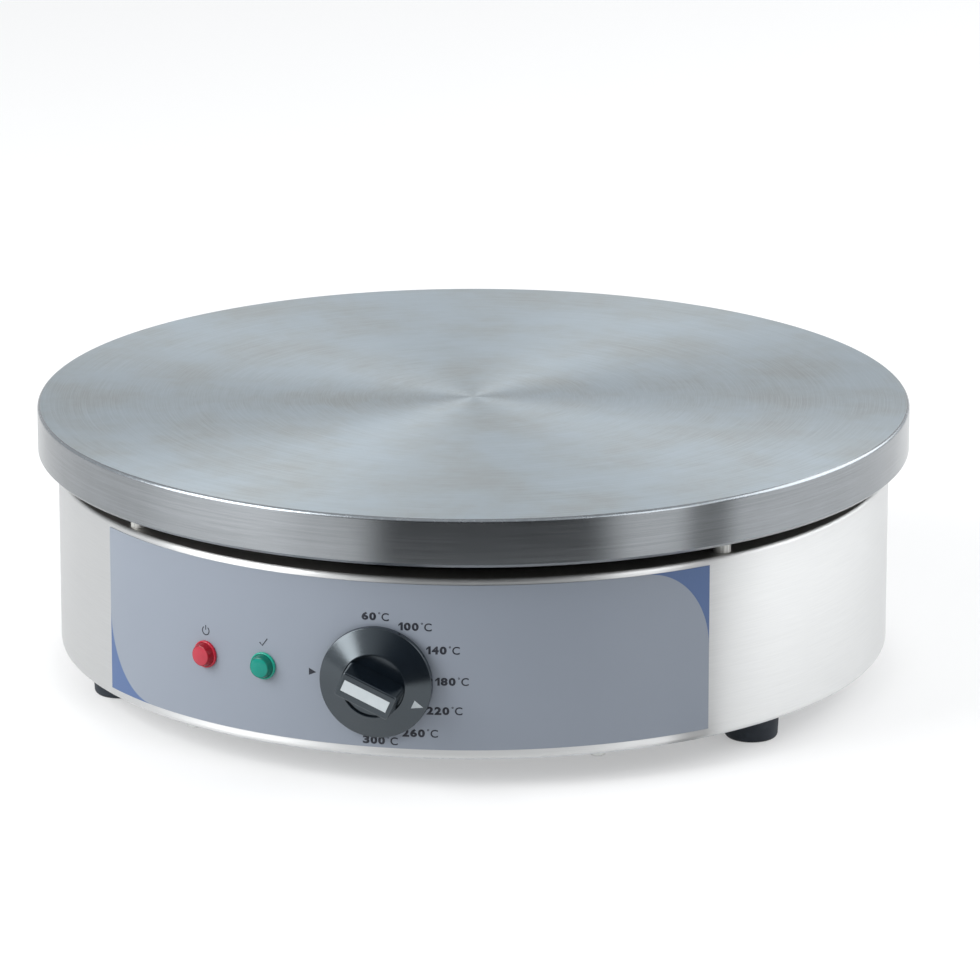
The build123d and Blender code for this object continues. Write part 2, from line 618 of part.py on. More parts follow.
rivet = rod(RIVET_R, flange_under - RIVET_HEAD_H, HOUSING_TOP + PAN_T + RIVET_HEAD_H)
rivet += rod(RIVET_HEAD_R, HOUSING_TOP + PAN_T, HOUSING_TOP + PAN_T + RIVET_HEAD_H)
rivet += rod(RIVET_HEAD_R, flange_under - RIVET_HEAD_H, flange_under)
save("pan_rivets", *[spot(a, RIVET_CIRCLE_R) * rivet for a in RIVET_AZIMUTHS])

# ---------------------------------------------------------------- insulation

insulation_top = CLAMP_Z - SEAT_GAP
insulation_r = pan_wall_r - PAN_T / 2 - NEST_GAP
insulation = rod(insulation_r, INSULATION_Z, insulation_top)
insulation = chamfer(insulation.edges().sort_by(Axis.Z)[0], PAN_CORNER_R)
for azimuth in CLAMP_AZIMUTHS:
    insulation -= spot(azimuth, CLAMP_CIRCLE_R) * rod(CLAMP_NUT_AF, INSULATION_Z, insulation_top)
for place in leg_spots:
    insulation -= leg_slot(place, INSULATION_Z, insulation_top)
insulation -= capillary_spot * rod(CAPILLARY_HOLE_R, INSULATION_Z, insulation_top)
screw_pocket_top = INSULATION_Z + STUD_TIP * 2
for x in (-CUTOUT_HOLE_X, CUTOUT_HOLE_X):
    insulation -= Pos(CUTOUT_X + x, CUTOUT_Y, 0) * rod(CUTOUT_SCREW_HEAD_R, INSULATION_Z, screw_pocket_top)
save("insulation_blanket", insulation)

# ---------------------------------------------------------------- front label

label_z = HOUSING_Z + LABEL_ABOVE_HEM
label_section = Polyline(
    (HOUSING_R + ADHESIVE_T, label_z), (LABEL_R, label_z), (LABEL_R, label_z + LABEL_H),
    (HOUSING_R + ADHESIVE_T, label_z + LABEL_H), close=True)
front_label = revolve(Plane.XZ * make_face(label_section), Axis.Z, 2 * LABEL_HALF_ANGLE)
front_label = Rot(0, 0, -90 - LABEL_HALF_ANGLE) * front_label
for azimuth in LAMP_AZIMUTHS:
    front_label -= panel(azimuth, LAMP_Z) * rod(LAMP_NECK_R + HOLE_GAP, *panel_hole_reach)
front_label -= panel(0, CONTROL_Z) * rod(LABEL_KNOB_HOLE_R, *panel_hole_reach)
save("front_label", front_label)

# ---------------------------------------------------------------- thermostat

controls = panel(0, CONTROL_Z)
bushing_end = LABEL_R + BUSHING_PROUD

thermostat_plate = slab(MOUNT_W, MOUNT_H, THERMOSTAT_FACE, MOUNT_FACE, BUSHING_R / 2)
thermostat_plate -= rod(BUSHING_R + THREAD_GAP, THERMOSTAT_FACE, MOUNT_FACE)
thermostat_body = slab(THERMOSTAT_W, THERMOSTAT_H, THERMOSTAT_FACE - THERMOSTAT_D, THERMOSTAT_FACE, BUSHING_R)
thermostat_body -= rod(SPINDLE_R + RUN_GAP, THERMOSTAT_FACE - SPINDLE_IN_BODY - SEAT_GAP, THERMOSTAT_FACE)
bushing = tube(BUSHING_R, SPINDLE_R + RUN_GAP, THERMOSTAT_FACE, bushing_end)

# Each screw head seats on the outside of the round panel, so it starts where its inner edge meets it.
screw_seat = sqrt(HOUSING_R ** 2 - (MOUNT_SCREW_X - MOUNT_SCREW_HEAD_R) ** 2) + SEAT_GAP
screw_tip = THERMOSTAT_FACE - STUD_TIP
mount_screw = pan_head_screw(MOUNT_SCREW_R, MOUNT_SCREW_HEAD_R, MOUNT_SCREW_HEAD_H, screw_seat, screw_tip)
for x in (-MOUNT_SCREW_X, MOUNT_SCREW_X):
    thermostat_plate -= Pos(x, 0, 0) * rod(MOUNT_SCREW_R + THREAD_GAP, THERMOSTAT_FACE, MOUNT_FACE)
    thermostat_body -= Pos(x, 0, 0) * rod(MOUNT_SCREW_R + HOLE_GAP, screw_tip - SEAT_GAP, THERMOSTAT_FACE)

blade_z = THERMOSTAT_FACE - THERMOSTAT_D
blade = slab(BLADE_W, BLADE_T, blade_z - BLADE_L, blade_z)
blades = [Pos(x, z, 0) * blade for x in (-BLADE_X, BLADE_X) for z in (-BLADE_Z, BLADE_Z)]

# The spindle has a flat over the length that enters the knob.
spindle = rod(SPINDLE_R, THERMOSTAT_FACE - SPINDLE_IN_BODY, SPINDLE_END)
flat_cut = slab(SPINDLE_R * 2, SPINDLE_R, SPINDLE_END - SPINDLE_FLAT_L, SPINDLE_END)
spindle -= Pos(0, SPINDLE_FLAT + SPINDLE_R / 2, 0) * flat_cut

save("thermostat_plate", controls * thermostat_plate)
save("thermostat_body", controls * thermostat_body)
save("thermostat_bushing", controls * bushing)
save("thermostat_screws", *[controls * Pos(x, 0, 0) * mount_screw for x in (-MOUNT_SCREW_X, MOUNT_SCREW_X)])
save("thermostat_blades", *[controls * one_blade for one_blade in blades])

# ---------------------------------------------------------------- knob

# Heights in this section start at the knob's back face.  The moulding is a rimmed cone with a
# ledge sunk on each side of the grip bar, and it is hollow underneath round the spindle's sleeve.
cone_run = KNOB_R - KNOB_HUB_R
cone_rise = KNOB_CONE_H - KNOB_RIM_H


def cone_height(radius):
    return KNOB_RIM_H + cone_rise * (KNOB_R - radius) / cone_run


outline = make_face(Polyline(
    (0, 0), (KNOB_R, 0), (KNOB_R, KNOB_RIM_H), (KNOB_HUB_R, KNOB_CONE_H),
    (KNOB_HUB_R, KNOB_LEDGE_H), (0, KNOB_LEDGE_H), close=True))
outline = fillet(corner(outline, KNOB_R, KNOB_RIM_H), KNOB_EDGE_R)
outline = fillet(corner(outline, KNOB_HUB_R, KNOB_CONE_H), KNOB_EDGE_R)
knob = revolve(Plane.XZ * outline, Axis.Z, 360)

# Grip bar, tapered towards its top, whose ends run out over the cone.
grip_rise = KNOB_H - KNOB_LEDGE_H
grip_growth = grip_rise * sin(radians(GRIP_DRAFT)) * 2
grip_foot = RectangleRounded(GRIP_L + grip_growth, GRIP_W + grip_growth, GRIP_EDGE_R * 2)
grip = Pos(0, 0, KNOB_LEDGE_H) * extrude(grip_foot, grip_rise, taper=GRIP_DRAFT)
grip = fillet(grip.faces().sort_by(Axis.Z)[-1].edges(), GRIP_EDGE_R)
knob += grip

# Hollow back: a ring-shaped pocket under the ledges that deepens under the cone.
pocket_r = KNOB_R - KNOB_WALL
ceiling = KNOB_LEDGE_H - KNOB_WALL
pocket = turned(
    (STEM_R, 0), (pocket_r, 0), (pocket_r, cone_height(pocket_r) - KNOB_WALL),
    (KNOB_HUB_R + KNOB_WALL, cone_height(KNOB_HUB_R + KNOB_WALL) - KNOB_WALL),
    (KNOB_HUB_R, ceiling), (STEM_R, ceiling))
knob -= pocket
knob -= rod(STEM_R, 0, STEM_SETBACK)

# Bore for the spindle, with its flat on the pointer's side of the axis.
bore_depth = SPINDLE_IN_KNOB + SEAT_GAP
bore = rod(SPINDLE_R + RUN_GAP, 0, bore_depth)
bore_flat = slab(SPINDLE_R * 3, SPINDLE_R, SPINDLE_IN_KNOB - SPINDLE_FLAT_L, bore_depth)
bore -= Pos(0, SPINDLE_FLAT + RUN_GAP + SPINDLE_R / 2, 0) * bore_flat
knob -= bore

# White inlay let into the top of the bar.
knob -= slab(INLAY_L + 2 * INLAY_GAP, INLAY_W + 2 * INLAY_GAP, KNOB_H - INLAY_T, KNOB_H)
knob_inlay = slab(INLAY_L, INLAY_W, KNOB_H - INLAY_T, KNOB_H)

# White pointer let into the cone, in line with the bar.
pointer_outline = Polyline((POINTER_TIP_R, 0), (POINTER_BASE_R, POINTER_HALF_W),
                           (POINTER_BASE_R, -POINTER_HALF_W), close=True)
pointer_prism = extrude(make_face(pointer_outline), KNOB_CONE_H)
cone_layer = turned(
    (KNOB_HUB_R, cone_height(KNOB_HUB_R)), (KNOB_R, cone_height(KNOB_R)),
    (KNOB_R, cone_height(KNOB_R) - POINTER_T), (KNOB_HUB_R, cone_height(KNOB_HUB_R) - POINTER_T))
knob_pointer = pointer_prism & cone_layer
knob -= knob_pointer

# Spring clip round the sleeve: a ring with a mouth.
clip = tube(STEM_R + RUN_GAP + CLIP_T, STEM_R + RUN_GAP, STEM_SETBACK, STEM_SETBACK + CLIP_W)
clip_mouth = Polyline((0, 0), (2 * STEM_R, 2 * STEM_R * sin(radians(CLIP_MOUTH / 2))),
                      (2 * STEM_R, -2 * STEM_R * sin(radians(CLIP_MOUTH / 2))), close=True)
clip -= extrude(make_face(clip_mouth), CLIP_W * 2)

# The knob and its spindle, turned to where the bar points at rest.
knob_place = controls * Rot(0, 0, 90 - GRIP_ANGLE) * Pos(0, 0, KNOB_BACK)
save("knob", knob_place * knob)
save("knob_inlay", knob_place * knob_inlay)
save("knob_pointer", knob_place * knob_pointer)
save("knob_clip", knob_place * clip)
save("thermostat_spindle", controls * Rot(0, 0, 90 - GRIP_ANGLE) * spindle)

# ---------------------------------------------------------------- sensing bulb and capillary

# The bulb lies against the griddle between the heater rings, pressed up by a bowed leaf spring.
bulb_z = PLATE_UNDER - SEAT_GAP - BULB_R
bulb = Pos(0, -BULB_Y, bulb_z) * Rot(0, 90, 0) * Cylinder(BULB_R, BULB_L)
bulb = fillet(bulb.edges().filter_by(GeomType.CIRCLE), BULB_R * 0.4)
save("sensing_bulb", bulb)

leaf_z = CLAMP_TOP + BULB_CLIP_T / 2
leaf_peak = bulb_z - BULB_R - SEAT_GAP - BULB_CLIP_T / 2
leaf_line = FilletPolyline(
    (-BULB_CLIP_L / 2, leaf_z), (-BULB_CLIP_L / 4, leaf_z), (-BULB_CLIP_L / 8, leaf_peak),
    (BULB_CLIP_L / 8, leaf_peak), (BULB_CLIP_L / 4, leaf_z), (BULB_CLIP_L / 2, leaf_z), radius=BULB_CLIP_T)
leaf = extrude(Plane.XZ * trace(leaf_line, BULB_CLIP_T), BULB_CLIP_W / 2, both=True)
save("bulb_spring", Pos(0, -BULB_Y, 0) * leaf)


def pipe(points, radius, bends):
    """A round tube or lead along straight runs joined by tangent arcs."""
    path = FilletPolyline(*points, radius=bends)
    start = Plane(origin=path @ 0, z_dir=path % 0)
    return sweep(start * Circle(radius), path=path)


port_top_z = CONTROL_Z + THERMOSTAT_H / 2
port_y = -(THERMOSTAT_FACE - THERMOSTAT_D / 2)
run_z = PAN_Z - CAPILLARY_BELOW_PAN
capillary = pipe(
    [(BULB_L / 2, -BULB_Y, bulb_z), (capillary_x, -BULB_Y, bulb_z), (capillary_x, -BULB_Y, run_z),
     (BLADE_X, port_y, run_z), (BLADE_X, port_y, port_top_z)],
    CAPILLARY_R, CAPILLARY_BEND_R)
save("capillary_tube", capillary)

# ---------------------------------------------------------------- indicator lamps

# A clear coloured lens with a hollow neck passes through the panel.  A black body plugs into the
# neck, and a spring ring holds both from behind.
lens_z = LABEL_R + SEAT_GAP
neck_z = HOUSING_R - SHEET_T - LAMP_NECK_L
lens_top = lens_z + LAMP_LENS_H
outline = make_face(Polyline(
    (0, lens_top), (LAMP_LENS_R, lens_top), (LAMP_LENS_R, lens_z + LAMP_FLANGE_T),
    (LAMP_FLANGE_R, lens_z + LAMP_FLANGE_T), (LAMP_FLANGE_R, lens_z), (LAMP_NECK_R, lens_z),
    (LAMP_NECK_R, neck_z), (LAMP_BORE_R, neck_z), (LAMP_BORE_R, lens_top - LAMP_FACE_T),
    (0, lens_top - LAMP_FACE_T), close=True))
outline = fillet(corner(outline, LAMP_LENS_R, lens_top), LAMP_LENS_EDGE_R)
outline = fillet(corner(outline, LAMP_FLANGE_R, lens_z + LAMP_FLANGE_T), LAMP_LENS_EDGE_R / 2)
lens = revolve(Plane.XZ * outline, Axis.Z, 360)

lamp_body = rod(LAMP_NECK_R, neck_z - SEAT_GAP - LAMP_BODY_L, neck_z - SEAT_GAP)
lamp_body += rod(LAMP_BORE_R - THREAD_GAP, neck_z - SEAT_GAP, HOUSING_R)
lamp_body += rod(LAMP_BULB_R, HOUSING_R, lens_top - LAMP_FACE_T - SEAT_GAP)
lamp_blade = slab(LAMP_BLADE_W, BLADE_T, neck_z - LAMP_BODY_L - BLADE_L, neck_z - LAMP_BODY_L - SEAT_GAP)
for y in (-LAMP_BLADE_X, LAMP_BLADE_X):
    lamp_body += Pos(0, y, 0) * lamp_blade
ring_face = sqrt(PANEL_IN_R ** 2 - LAMP_RING_R ** 2) - SEAT_GAP
lamp_ring = tube(LAMP_RING_R, LAMP_NECK_R + THREAD_GAP, ring_face - LAMP_RING_T, ring_face)

red_azimuth, green_azimuth = LAMP_AZIMUTHS
save("red_lamp_lens", panel(red_azimuth, LAMP_Z) * lens)
save("green_lamp_lens", panel(green_azimuth, LAMP_Z) * lens)
save("lamp_bodies", *[panel(a, LAMP_Z) * lamp_body for a in LAMP_AZIMUTHS])
save("lamp_rings", *[panel(a, LAMP_Z) * lamp_ring for a in LAMP_AZIMUTHS])

# ---------------------------------------------------------------- safety cut-out

# A bimetal disc thermostat held by its two ears under the pan.
cutout_place = Pos(CUTOUT_X, CUTOUT_Y, 0)
ear_z = PAN_Z - CUTOUT_EAR_T
cutout = Pos(0, 0, ear_z) * extrude(SlotOverall(CUTOUT_EAR_L, CUTOUT_EAR_W), CUTOUT_EAR_T)
cutout += rod(CUTOUT_R, PAN_Z - CUTOUT_H, PAN_Z)
for x in (-BLADE_W / 2, BLADE_W / 2):
    cutout += Pos(x, 0, 0) * slab(BLADE_T, BLADE_W, PAN_Z - CUTOUT_H - BLADE_L, PAN_Z - CUTOUT_H)
for x in (-CUTOUT_HOLE_X, CUTOUT_HOLE_X):
    cutout -= Pos(x, 0, 0) * rod(CUTOUT_SCREW_R + HOLE_GAP, ear_z, PAN_Z)
cutout_screw = pan_head_screw(
    CUTOUT_SCREW_R, CUTOUT_SCREW_HEAD_R, CUTOUT_SCREW_HEAD_H, ear_z, INSULATION_Z + STUD_TIP)
save("safety_cutout", cutout_place * cutout)
save("cutout_screws", *[cutout_place * Pos(x, 0, 0) * cutout_screw for x in (-CUTOUT_HOLE_X, CUTOUT_HOLE_X)])

# ---------------------------------------------------------------- terminal block

# A ceramic block with one through hole and two clamp screws for each way, and a foot at each end.
block_l = BLOCK_WAYS * BLOCK_PITCH
block_foot_x = block_l / 2 + BLOCK_FOOT_L / 2
block_top = BASE_FLOOR + BLOCK_H
wire_z = BASE_FLOOR + BLOCK_H / 2
way_xs = [BLOCK_PITCH * (i - (BLOCK_WAYS - 1) / 2) for i in range(BLOCK_WAYS)]
block_screw_ys = (-BLOCK_D / 4, BLOCK_D / 4)

block = slab(block_l, BLOCK_D, BASE_FLOOR, block_top)
block = chamfer(block.edges().filter_by(Axis.X).group_by(Axis.Z)[-1], BLOCK_SCREW_R)
block += slab(block_l + 2 * BLOCK_FOOT_L, BLOCK_D / 2, BASE_FLOOR, BASE_FLOOR + BLOCK_FOOT_H)
block_screws = []
for x in way_xs:
    block -= Pos(x, 0, wire_z) * Rot(90, 0, 0) * Cylinder(BLOCK_WIRE_R, BLOCK_D)
    for y in block_screw_ys:
        well = rod(BLOCK_SCREW_HEAD_R + HOLE_GAP, block_top - BLOCK_SCREW_L / 2, block_top)
        well += rod(BLOCK_SCREW_R + THREAD_GAP, wire_z, block_top - BLOCK_SCREW_L / 2)
        block -= Pos(x, y, 0) * well
        screw = pan_head_screw(BLOCK_SCREW_R, BLOCK_SCREW_HEAD_R, BLOCK_SCREW_L / 4,
                               block_top - BLOCK_SCREW_L / 2, wire_z + LEAD_R + SEAT_GAP)
        block_screws.append(Pos(x, BLOCK_Y + y, 0) * screw)

holding_screw = pan_head_screw(BLOCK_SCREW_R, BLOCK_SCREW_HEAD_R, BLOCK_SCREW_L / 4,
                               BASE_FLOOR + BLOCK_FOOT_H, BASE_FLOOR - BASE_T - STUD_TIP)
holding_screws = []
for x in (-block_foot_x, block_foot_x):
    block -= Pos(x, 0, 0) * rod(BLOCK_SCREW_R + HOLE_GAP, BASE_FLOOR, BASE_FLOOR + BLOCK_FOOT_H)
    base_plate -= Pos(x, BLOCK_Y, 0) * rod(BLOCK_SCREW_R + THREAD_GAP, BASE_FLOOR - BASE_T, BASE_FLOOR)
    holding_screws.append(Pos(x, BLOCK_Y, 0) * holding_screw)
save("terminal_block", Pos(0, BLOCK_Y, 0) * block)
save("terminal_screws", *block_screws)
save("block_screws", *holding_screws)

# ---------------------------------------------------------------- earth stud

earth_z = BASE_FLOOR - BASE_T
earth_stud = pan_head_screw(STUD_R, FOOT_SCREW_HEAD_R, FOOT_SCREW_HEAD_H, earth_z, earth_z + EARTH_STUD_L)
earth_nut = mirror(flange_nut(0, NUT_AF, NUT_H, NUT_FLANGE_R, NUT_FLANGE_T, STUD_R + THREAD_GAP), Plane.XY)
earth_spot = Pos(EARTH_X, BLOCK_Y, 0)
base_plate -= earth_spot * rod(STUD_R + HOLE_GAP, earth_z, BASE_FLOOR)
save("earth_stud", earth_spot * earth_stud)
earth_nut_zs = (BASE_FLOOR, BASE_FLOOR + NUT_H)
save("earth_nuts", *[earth_spot * Pos(0, 0, z) * earth_nut for z in earth_nut_zs])
save("base_plate", base_plate)

# ---------------------------------------------------------------- cable gland

# Body through the panel, locknut inside, rubber seal in the nose, and a domed nut that squeezes it.
gland_face = HOUSING_R + GLAND_FLANGE_T
nose_end = gland_face + GLAND_NOSE_L
gland_body = hex_bar(GLAND_AF, HOUSING_R + SEAT_GAP, gland_face)
gland_body += rod(GLAND_NECK_R, PANEL_IN_R - GLAND_NECK_L, HOUSING_R + SEAT_GAP)
gland_body += rod(GLAND_NOSE_R, gland_face, nose_end)
gland_body -= rod(GLAND_BORE_R, PANEL_IN_R - GLAND_NECK_L, nose_end)

locknut_r = GLAND_LOCKNUT_AF / sqrt(3)
locknut_face = sqrt(PANEL_IN_R ** 2 - locknut_r ** 2) - SEAT_GAP
gland_locknut = hex_bar(GLAND_LOCKNUT_AF, locknut_face - GLAND_LOCKNUT_T, locknut_face)
gland_locknut -= rod(GLAND_NECK_R + THREAD_GAP, locknut_face - GLAND_LOCKNUT_T, locknut_face)

gland_seal = tube(GLAND_BORE_R, GLAND_CORD_R, nose_end - GLAND_SEAL_L / 2, nose_end + GLAND_SEAL_L / 2)
dome_start = gland_face + SEAT_GAP
gland_dome = hex_bar(GLAND_AF, dome_start, dome_start + GLAND_DOME_HEX_L)
gland_dome += turned(
    (0, dome_start + GLAND_DOME_HEX_L), (GLAND_AF / 2, dome_start + GLAND_DOME_HEX_L),
    (GLAND_DOME_R, KNOB_FRONT), (0, KNOB_FRONT))
gland_dome -= rod(GLAND_NOSE_R + THREAD_GAP, dome_start, nose_end + SEAT_GAP)
gland_dome -= rod(GLAND_BORE_R + THREAD_GAP, nose_end, KNOB_FRONT)

gland_place = panel(180, CONTROL_Z)
save("gland_body", gland_place * gland_body)
save("gland_locknut", gland_place * gland_locknut)
save("gland_seal", gland_place * gland_seal)
save("gland_dome_nut", gland_place * gland_dome)

# ---------------------------------------------------------------- leads

# Every lead starts at a clamp screw of the terminal block or at a blade, and is dressed low over
# the base so that it stays clear of the hot pan.
floor_z = BASE_FLOOR + LEAD_FLOOR_GAP + LEAD_R
under_screw = BLOCK_D / 4 - BLOCK_SCREW_R
blade_end_y = -(blade_z - BLADE_L)
low_blade_z = CONTROL_Z - BLADE_Z
high_blade_z = CONTROL_Z + BLADE_Z
pin_end_z = leg_end_z - PIN_L
line_x, neutral_x = way_xs[:2]

line_lead = pipe(
    [(line_x, BLOCK_Y - under_screw, wire_z), (line_x, BLOCK_Y - LEAD_RUN, wire_z),
     (line_x, BLOCK_Y - 2 * LEAD_RUN, floor_z), (-BLADE_X, blade_end_y + 2 * LEAD_RUN, floor_z),
     (-BLADE_X, blade_end_y + LEAD_RUN, low_blade_z), (-BLADE_X, blade_end_y, low_blade_z)],
    LEAD_R, LEAD_BEND_R)
switched_lead = pipe(
    [(BLADE_X, blade_end_y, low_blade_z), (BLADE_X, blade_end_y + LEAD_RUN, low_blade_z),
     (inner_foot.X, inner_foot.Y - 3 * LEAD_RUN, low_blade_z),
     (inner_foot.X, inner_foot.Y, low_blade_z + LEAD_R), (inner_foot.X, inner_foot.Y, pin_end_z)],
    LEAD_R, LEAD_BEND_R)
neutral_lead = pipe(
    [(neutral_x, BLOCK_Y + under_screw, wire_z), (neutral_x, outer_foot.Y, wire_z),
     (outer_foot.X, outer_foot.Y, wire_z + LEAD_RUN / 2), (outer_foot.X, outer_foot.Y, pin_end_z)],
    LEAD_R, LEAD_TIGHT_BEND_R)
save("line_lead", line_lead)
save("switched_lead", switched_lead)
save("neutral_lead", neutral_lead)

# The lamps' leads run side by side to the two upper blades.
lamp_leads = []
for i, azimuth in enumerate(LAMP_AZIMUTHS):
    out_of_lamp = neck_z - LAMP_BODY_L - BLADE_L
    lamp_axis = panel(azimuth, LAMP_Z)
    start = lamp_axis.from_local_coords((0, LAMP_BLADE_X, out_of_lamp))
    first_turn = lamp_axis.from_local_coords((0, LAMP_BLADE_X, out_of_lamp - LEAD_RUN / 2))
    blade_x = (-BLADE_X, BLADE_X)[i]
    last_turn_y = blade_end_y + LEAD_RUN * (2 - i)
    lamp_leads.append(pipe(
        [start, first_turn, (blade_x, last_turn_y, high_blade_z), (blade_x, blade_end_y, high_blade_z)],
        LEAD_R, LEAD_TIGHT_BEND_R))
save("lamp_leads", *lamp_leads)
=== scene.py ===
import math

import bmesh
import bpy
from mathutils import Matrix, Vector


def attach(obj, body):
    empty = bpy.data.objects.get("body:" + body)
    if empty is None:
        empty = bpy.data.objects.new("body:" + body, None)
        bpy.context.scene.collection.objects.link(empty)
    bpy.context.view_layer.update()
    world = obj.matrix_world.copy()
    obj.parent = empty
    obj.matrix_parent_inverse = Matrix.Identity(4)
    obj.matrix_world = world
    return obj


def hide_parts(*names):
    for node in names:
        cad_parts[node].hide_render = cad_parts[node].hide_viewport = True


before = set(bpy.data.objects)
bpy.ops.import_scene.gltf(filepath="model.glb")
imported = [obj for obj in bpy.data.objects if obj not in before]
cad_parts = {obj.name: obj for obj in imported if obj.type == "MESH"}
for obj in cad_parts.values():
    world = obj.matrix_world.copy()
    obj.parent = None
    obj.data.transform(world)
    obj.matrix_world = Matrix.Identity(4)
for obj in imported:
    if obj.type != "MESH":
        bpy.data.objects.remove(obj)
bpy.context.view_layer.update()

# ------------------------------------------------------------------ camera
# A product camera on a long lens, a little to the right of the knob and looking down on the plate
# at sixteen degrees.

CAMERA_AZIMUTH = math.radians(12.7)
CAMERA_DISTANCE = 2.9078
CAMERA_HEIGHT = 0.92527
CAMERA_PITCH = 0.2825
CAMERA_YAW = 0.0026
LENS = 241.13
SENSOR = 36.0

scene = bpy.context.scene
scene.view_settings.view_transform = "Standard"
camera_data = bpy.data.cameras.new("camera")
camera_data.sensor_width = SENSOR
camera_data.lens = LENS
camera = bpy.data.objects.new("camera", camera_data)
camera.location = (
    CAMERA_DISTANCE * math.sin(CAMERA_AZIMUTH),
    -CAMERA_DISTANCE * math.cos(CAMERA_AZIMUTH),
    CAMERA_HEIGHT)
camera.rotation_euler = (math.pi / 2 - CAMERA_PITCH, 0, CAMERA_AZIMUTH - CAMERA_YAW)
scene.collection.objects.link(camera)
scene.camera = camera

# ------------------------------------------------------------------ griddle plate
# One iron casting, 400 mm across.  Its top and rim are turned on a lathe, which leaves fine rings,
# its top is seasoned with oil and its upper edge is worn bright.  The underside keeps the skin of
# the sand mould, with a hub, radial ribs and the bosses that take the heater's clamp studs.

MM = 0.001
PLATE_R = 200 * MM
PLATE_TOP = 126 * MM
RIM_BOTTOM = 104 * MM
WEB_BOTTOM = 114 * MM
LAND_R = 176 * MM
TOP_ROUNDING = 1.8 * MM
RIM_CHAMFER = 1.5 * MM
ROOT_FILLET = 4 * MM
PLATE_STEPS = 360
HUB_R = 16 * MM
HUB_H = 7 * MM
RIB_T = 5 * MM
RIB_H = 6 * MM
BOSS_R = 7 * MM
BOSS_BORE_R = 3.05 * MM
BOSS_H = 6 * MM
BOSS_CIRCLE_R = 113 * MM
BOSS_STEPS = 32
BOSSES = 4
FIRST_BOSS = 45
# Each ring of ribs: how many, the first one's turn in degrees, where they start and end and how
# far each end slopes, in millimetres.
RIBS = ((12, 15, 147.25, 177.5, 6, 0), (6, 0, 14.5, 78.75, 0, 6))
# How far down the edge's rounding the top's finish and the worn band reach, in shares of it.
TOP_FINISH_TO = 0.05
WORN_FROM = 0.2
WORN_TO = 0.7
EMBED = 1 * MM
WELD = 0.001 * MM


def paint(red, green, blue):
    """A colour from the bytes that a screen shows, as the shaders take it."""
    shares = [part / 255 for part in (red, green, blue)]
    linear = [
        part / 12.92 if part <= 0.04045 else ((part + 0.055) / 1.055) ** 2.4 for part in shares]
    return (*linear, 1.0)


class Value:
    """A shader socket that Python's arithmetic works on: each operation adds its Math node."""

    def __init__(self, shades, socket):
        self.shades = shades
        self.socket = socket

    def twin(self, name):
        """Another output of the same node."""
        return Value(self.shades, self.socket.node.outputs[name])

    def maths(self, operation, first, second):
        return self.shades.node("ShaderNodeMath", {"operation": operation}, {0: first, 1: second})

    def __add__(self, other):
        return self.maths("ADD", self, other)

    def __sub__(self, other):
        return self.maths("SUBTRACT", self, other)

    def __mul__(self, other):
        return self.maths("MULTIPLY", self, other)

    def __truediv__(self, other):
        return self.maths("DIVIDE", self, other)

    def __gt__(self, other):
        return self.maths("GREATER_THAN", self, other)

    # The same operations with a plain number on their left.
    __radd__ = __add__
    __rmul__ = __mul__

    def __rsub__(self, other):
        return self.maths("SUBTRACT", other, self)

    def __rtruediv__(self, other):
        return self.maths("DIVIDE", other, self)

    def __lt__(self, other):
        return self.maths("LESS_THAN", self, other)


class Shades:
    """A node tree, with one method that adds any node and a few that add the usual ones."""

    def __init__(self, tree):
        self.tree = tree

    def node(self, kind, settings, sockets, output=0):
        made = self.tree.nodes.new(kind)
        for name, setting in settings.items():
            setattr(made, name, setting)
        for name, value in sockets.items():
            if isinstance(value, Value):
                self.tree.links.new(value.socket, made.inputs[name])
            else:
                made.inputs[name].default_value = value
        return Value(self, made.outputs[output])

    def vectors(self, operation, sockets, output=0):
        return self.node("ShaderNodeVectorMath", {"operation": operation}, sockets, output)

    def place(self):
        return self.node("ShaderNodeTexCoord", {}, {}, "Object")

    def noise(self, scale, detail, roughness=0.5, vector=None):
        """Random patches, about as many to the metre as the scale says."""
        vector = self.place() if vector is None else vector
        return self.node(
            "ShaderNodeTexNoise", {},
            {"Vector": vector, "Scale": scale, "Detail": detail, "Roughness": roughness})

    def marks(self, along, outwards=0.0, upwards=0.0, detail=2.0, roughness=0.5):
        """Noise drawn out round the machine's axis; each scale says how fast it changes one way."""
        x = self.node("ShaderNodeSeparateXYZ", {}, {0: self.place()})
        y, z = x.twin("Y"), x.twin("Z")
        level = self.node("ShaderNodeCombineXYZ", {}, {"X": x, "Y": y})
        radius = self.vectors("LENGTH", {0: level}, "Value")
        heading = self.vectors("NORMALIZE", {0: level})
        heading = self.vectors("SCALE", {0: heading, "Scale": along})
        apart = self.node("ShaderNodeCombineXYZ", {}, {"Z": radius * outwards + z * upwards})
        return self.noise(1.0, detail, roughness, self.vectors("ADD", {0: heading, 1: apart}))

    def blend(self, factor, first, second):
        return self.node(
            "ShaderNodeMix", {"data_type": "RGBA"}, {0: factor, 6: first, 7: second}, 2)

    def ramp(self, value, low, high):
        """0 below low, 1 above high, and a smooth rise between them."""
        return self.node(
            "ShaderNodeMapRange", {"interpolation_type": "SMOOTHSTEP"},
            {"Value": value, "From Min": low, "From Max": high})


class Finish(Shades):
    """A surface finish: one material, whose constants go on the shader's own sockets."""

    def __init__(self, name, constants):
        self.material = bpy.data.materials.new(name)
        self.material.use_nodes = True
        super().__init__(self.material.node_tree)
        self.shader = self.tree.nodes["Principled BSDF"]
        for socket, value in constants.items():
            self.shader.inputs[socket].default_value = value

    def vary(self, socket, value):
        self.tree.links.new(value.socket, self.shader.inputs[socket])

    def tint(self, pattern, low, high):
        """Colours the surface from one colour to another, by a pattern."""
        self.vary("Base Color", self.blend(pattern, low, high))

    def relief(self, height, depth):
        self.vary("Normal", self.node("ShaderNodeBump", {}, {"Height": height, "Distance": depth}))


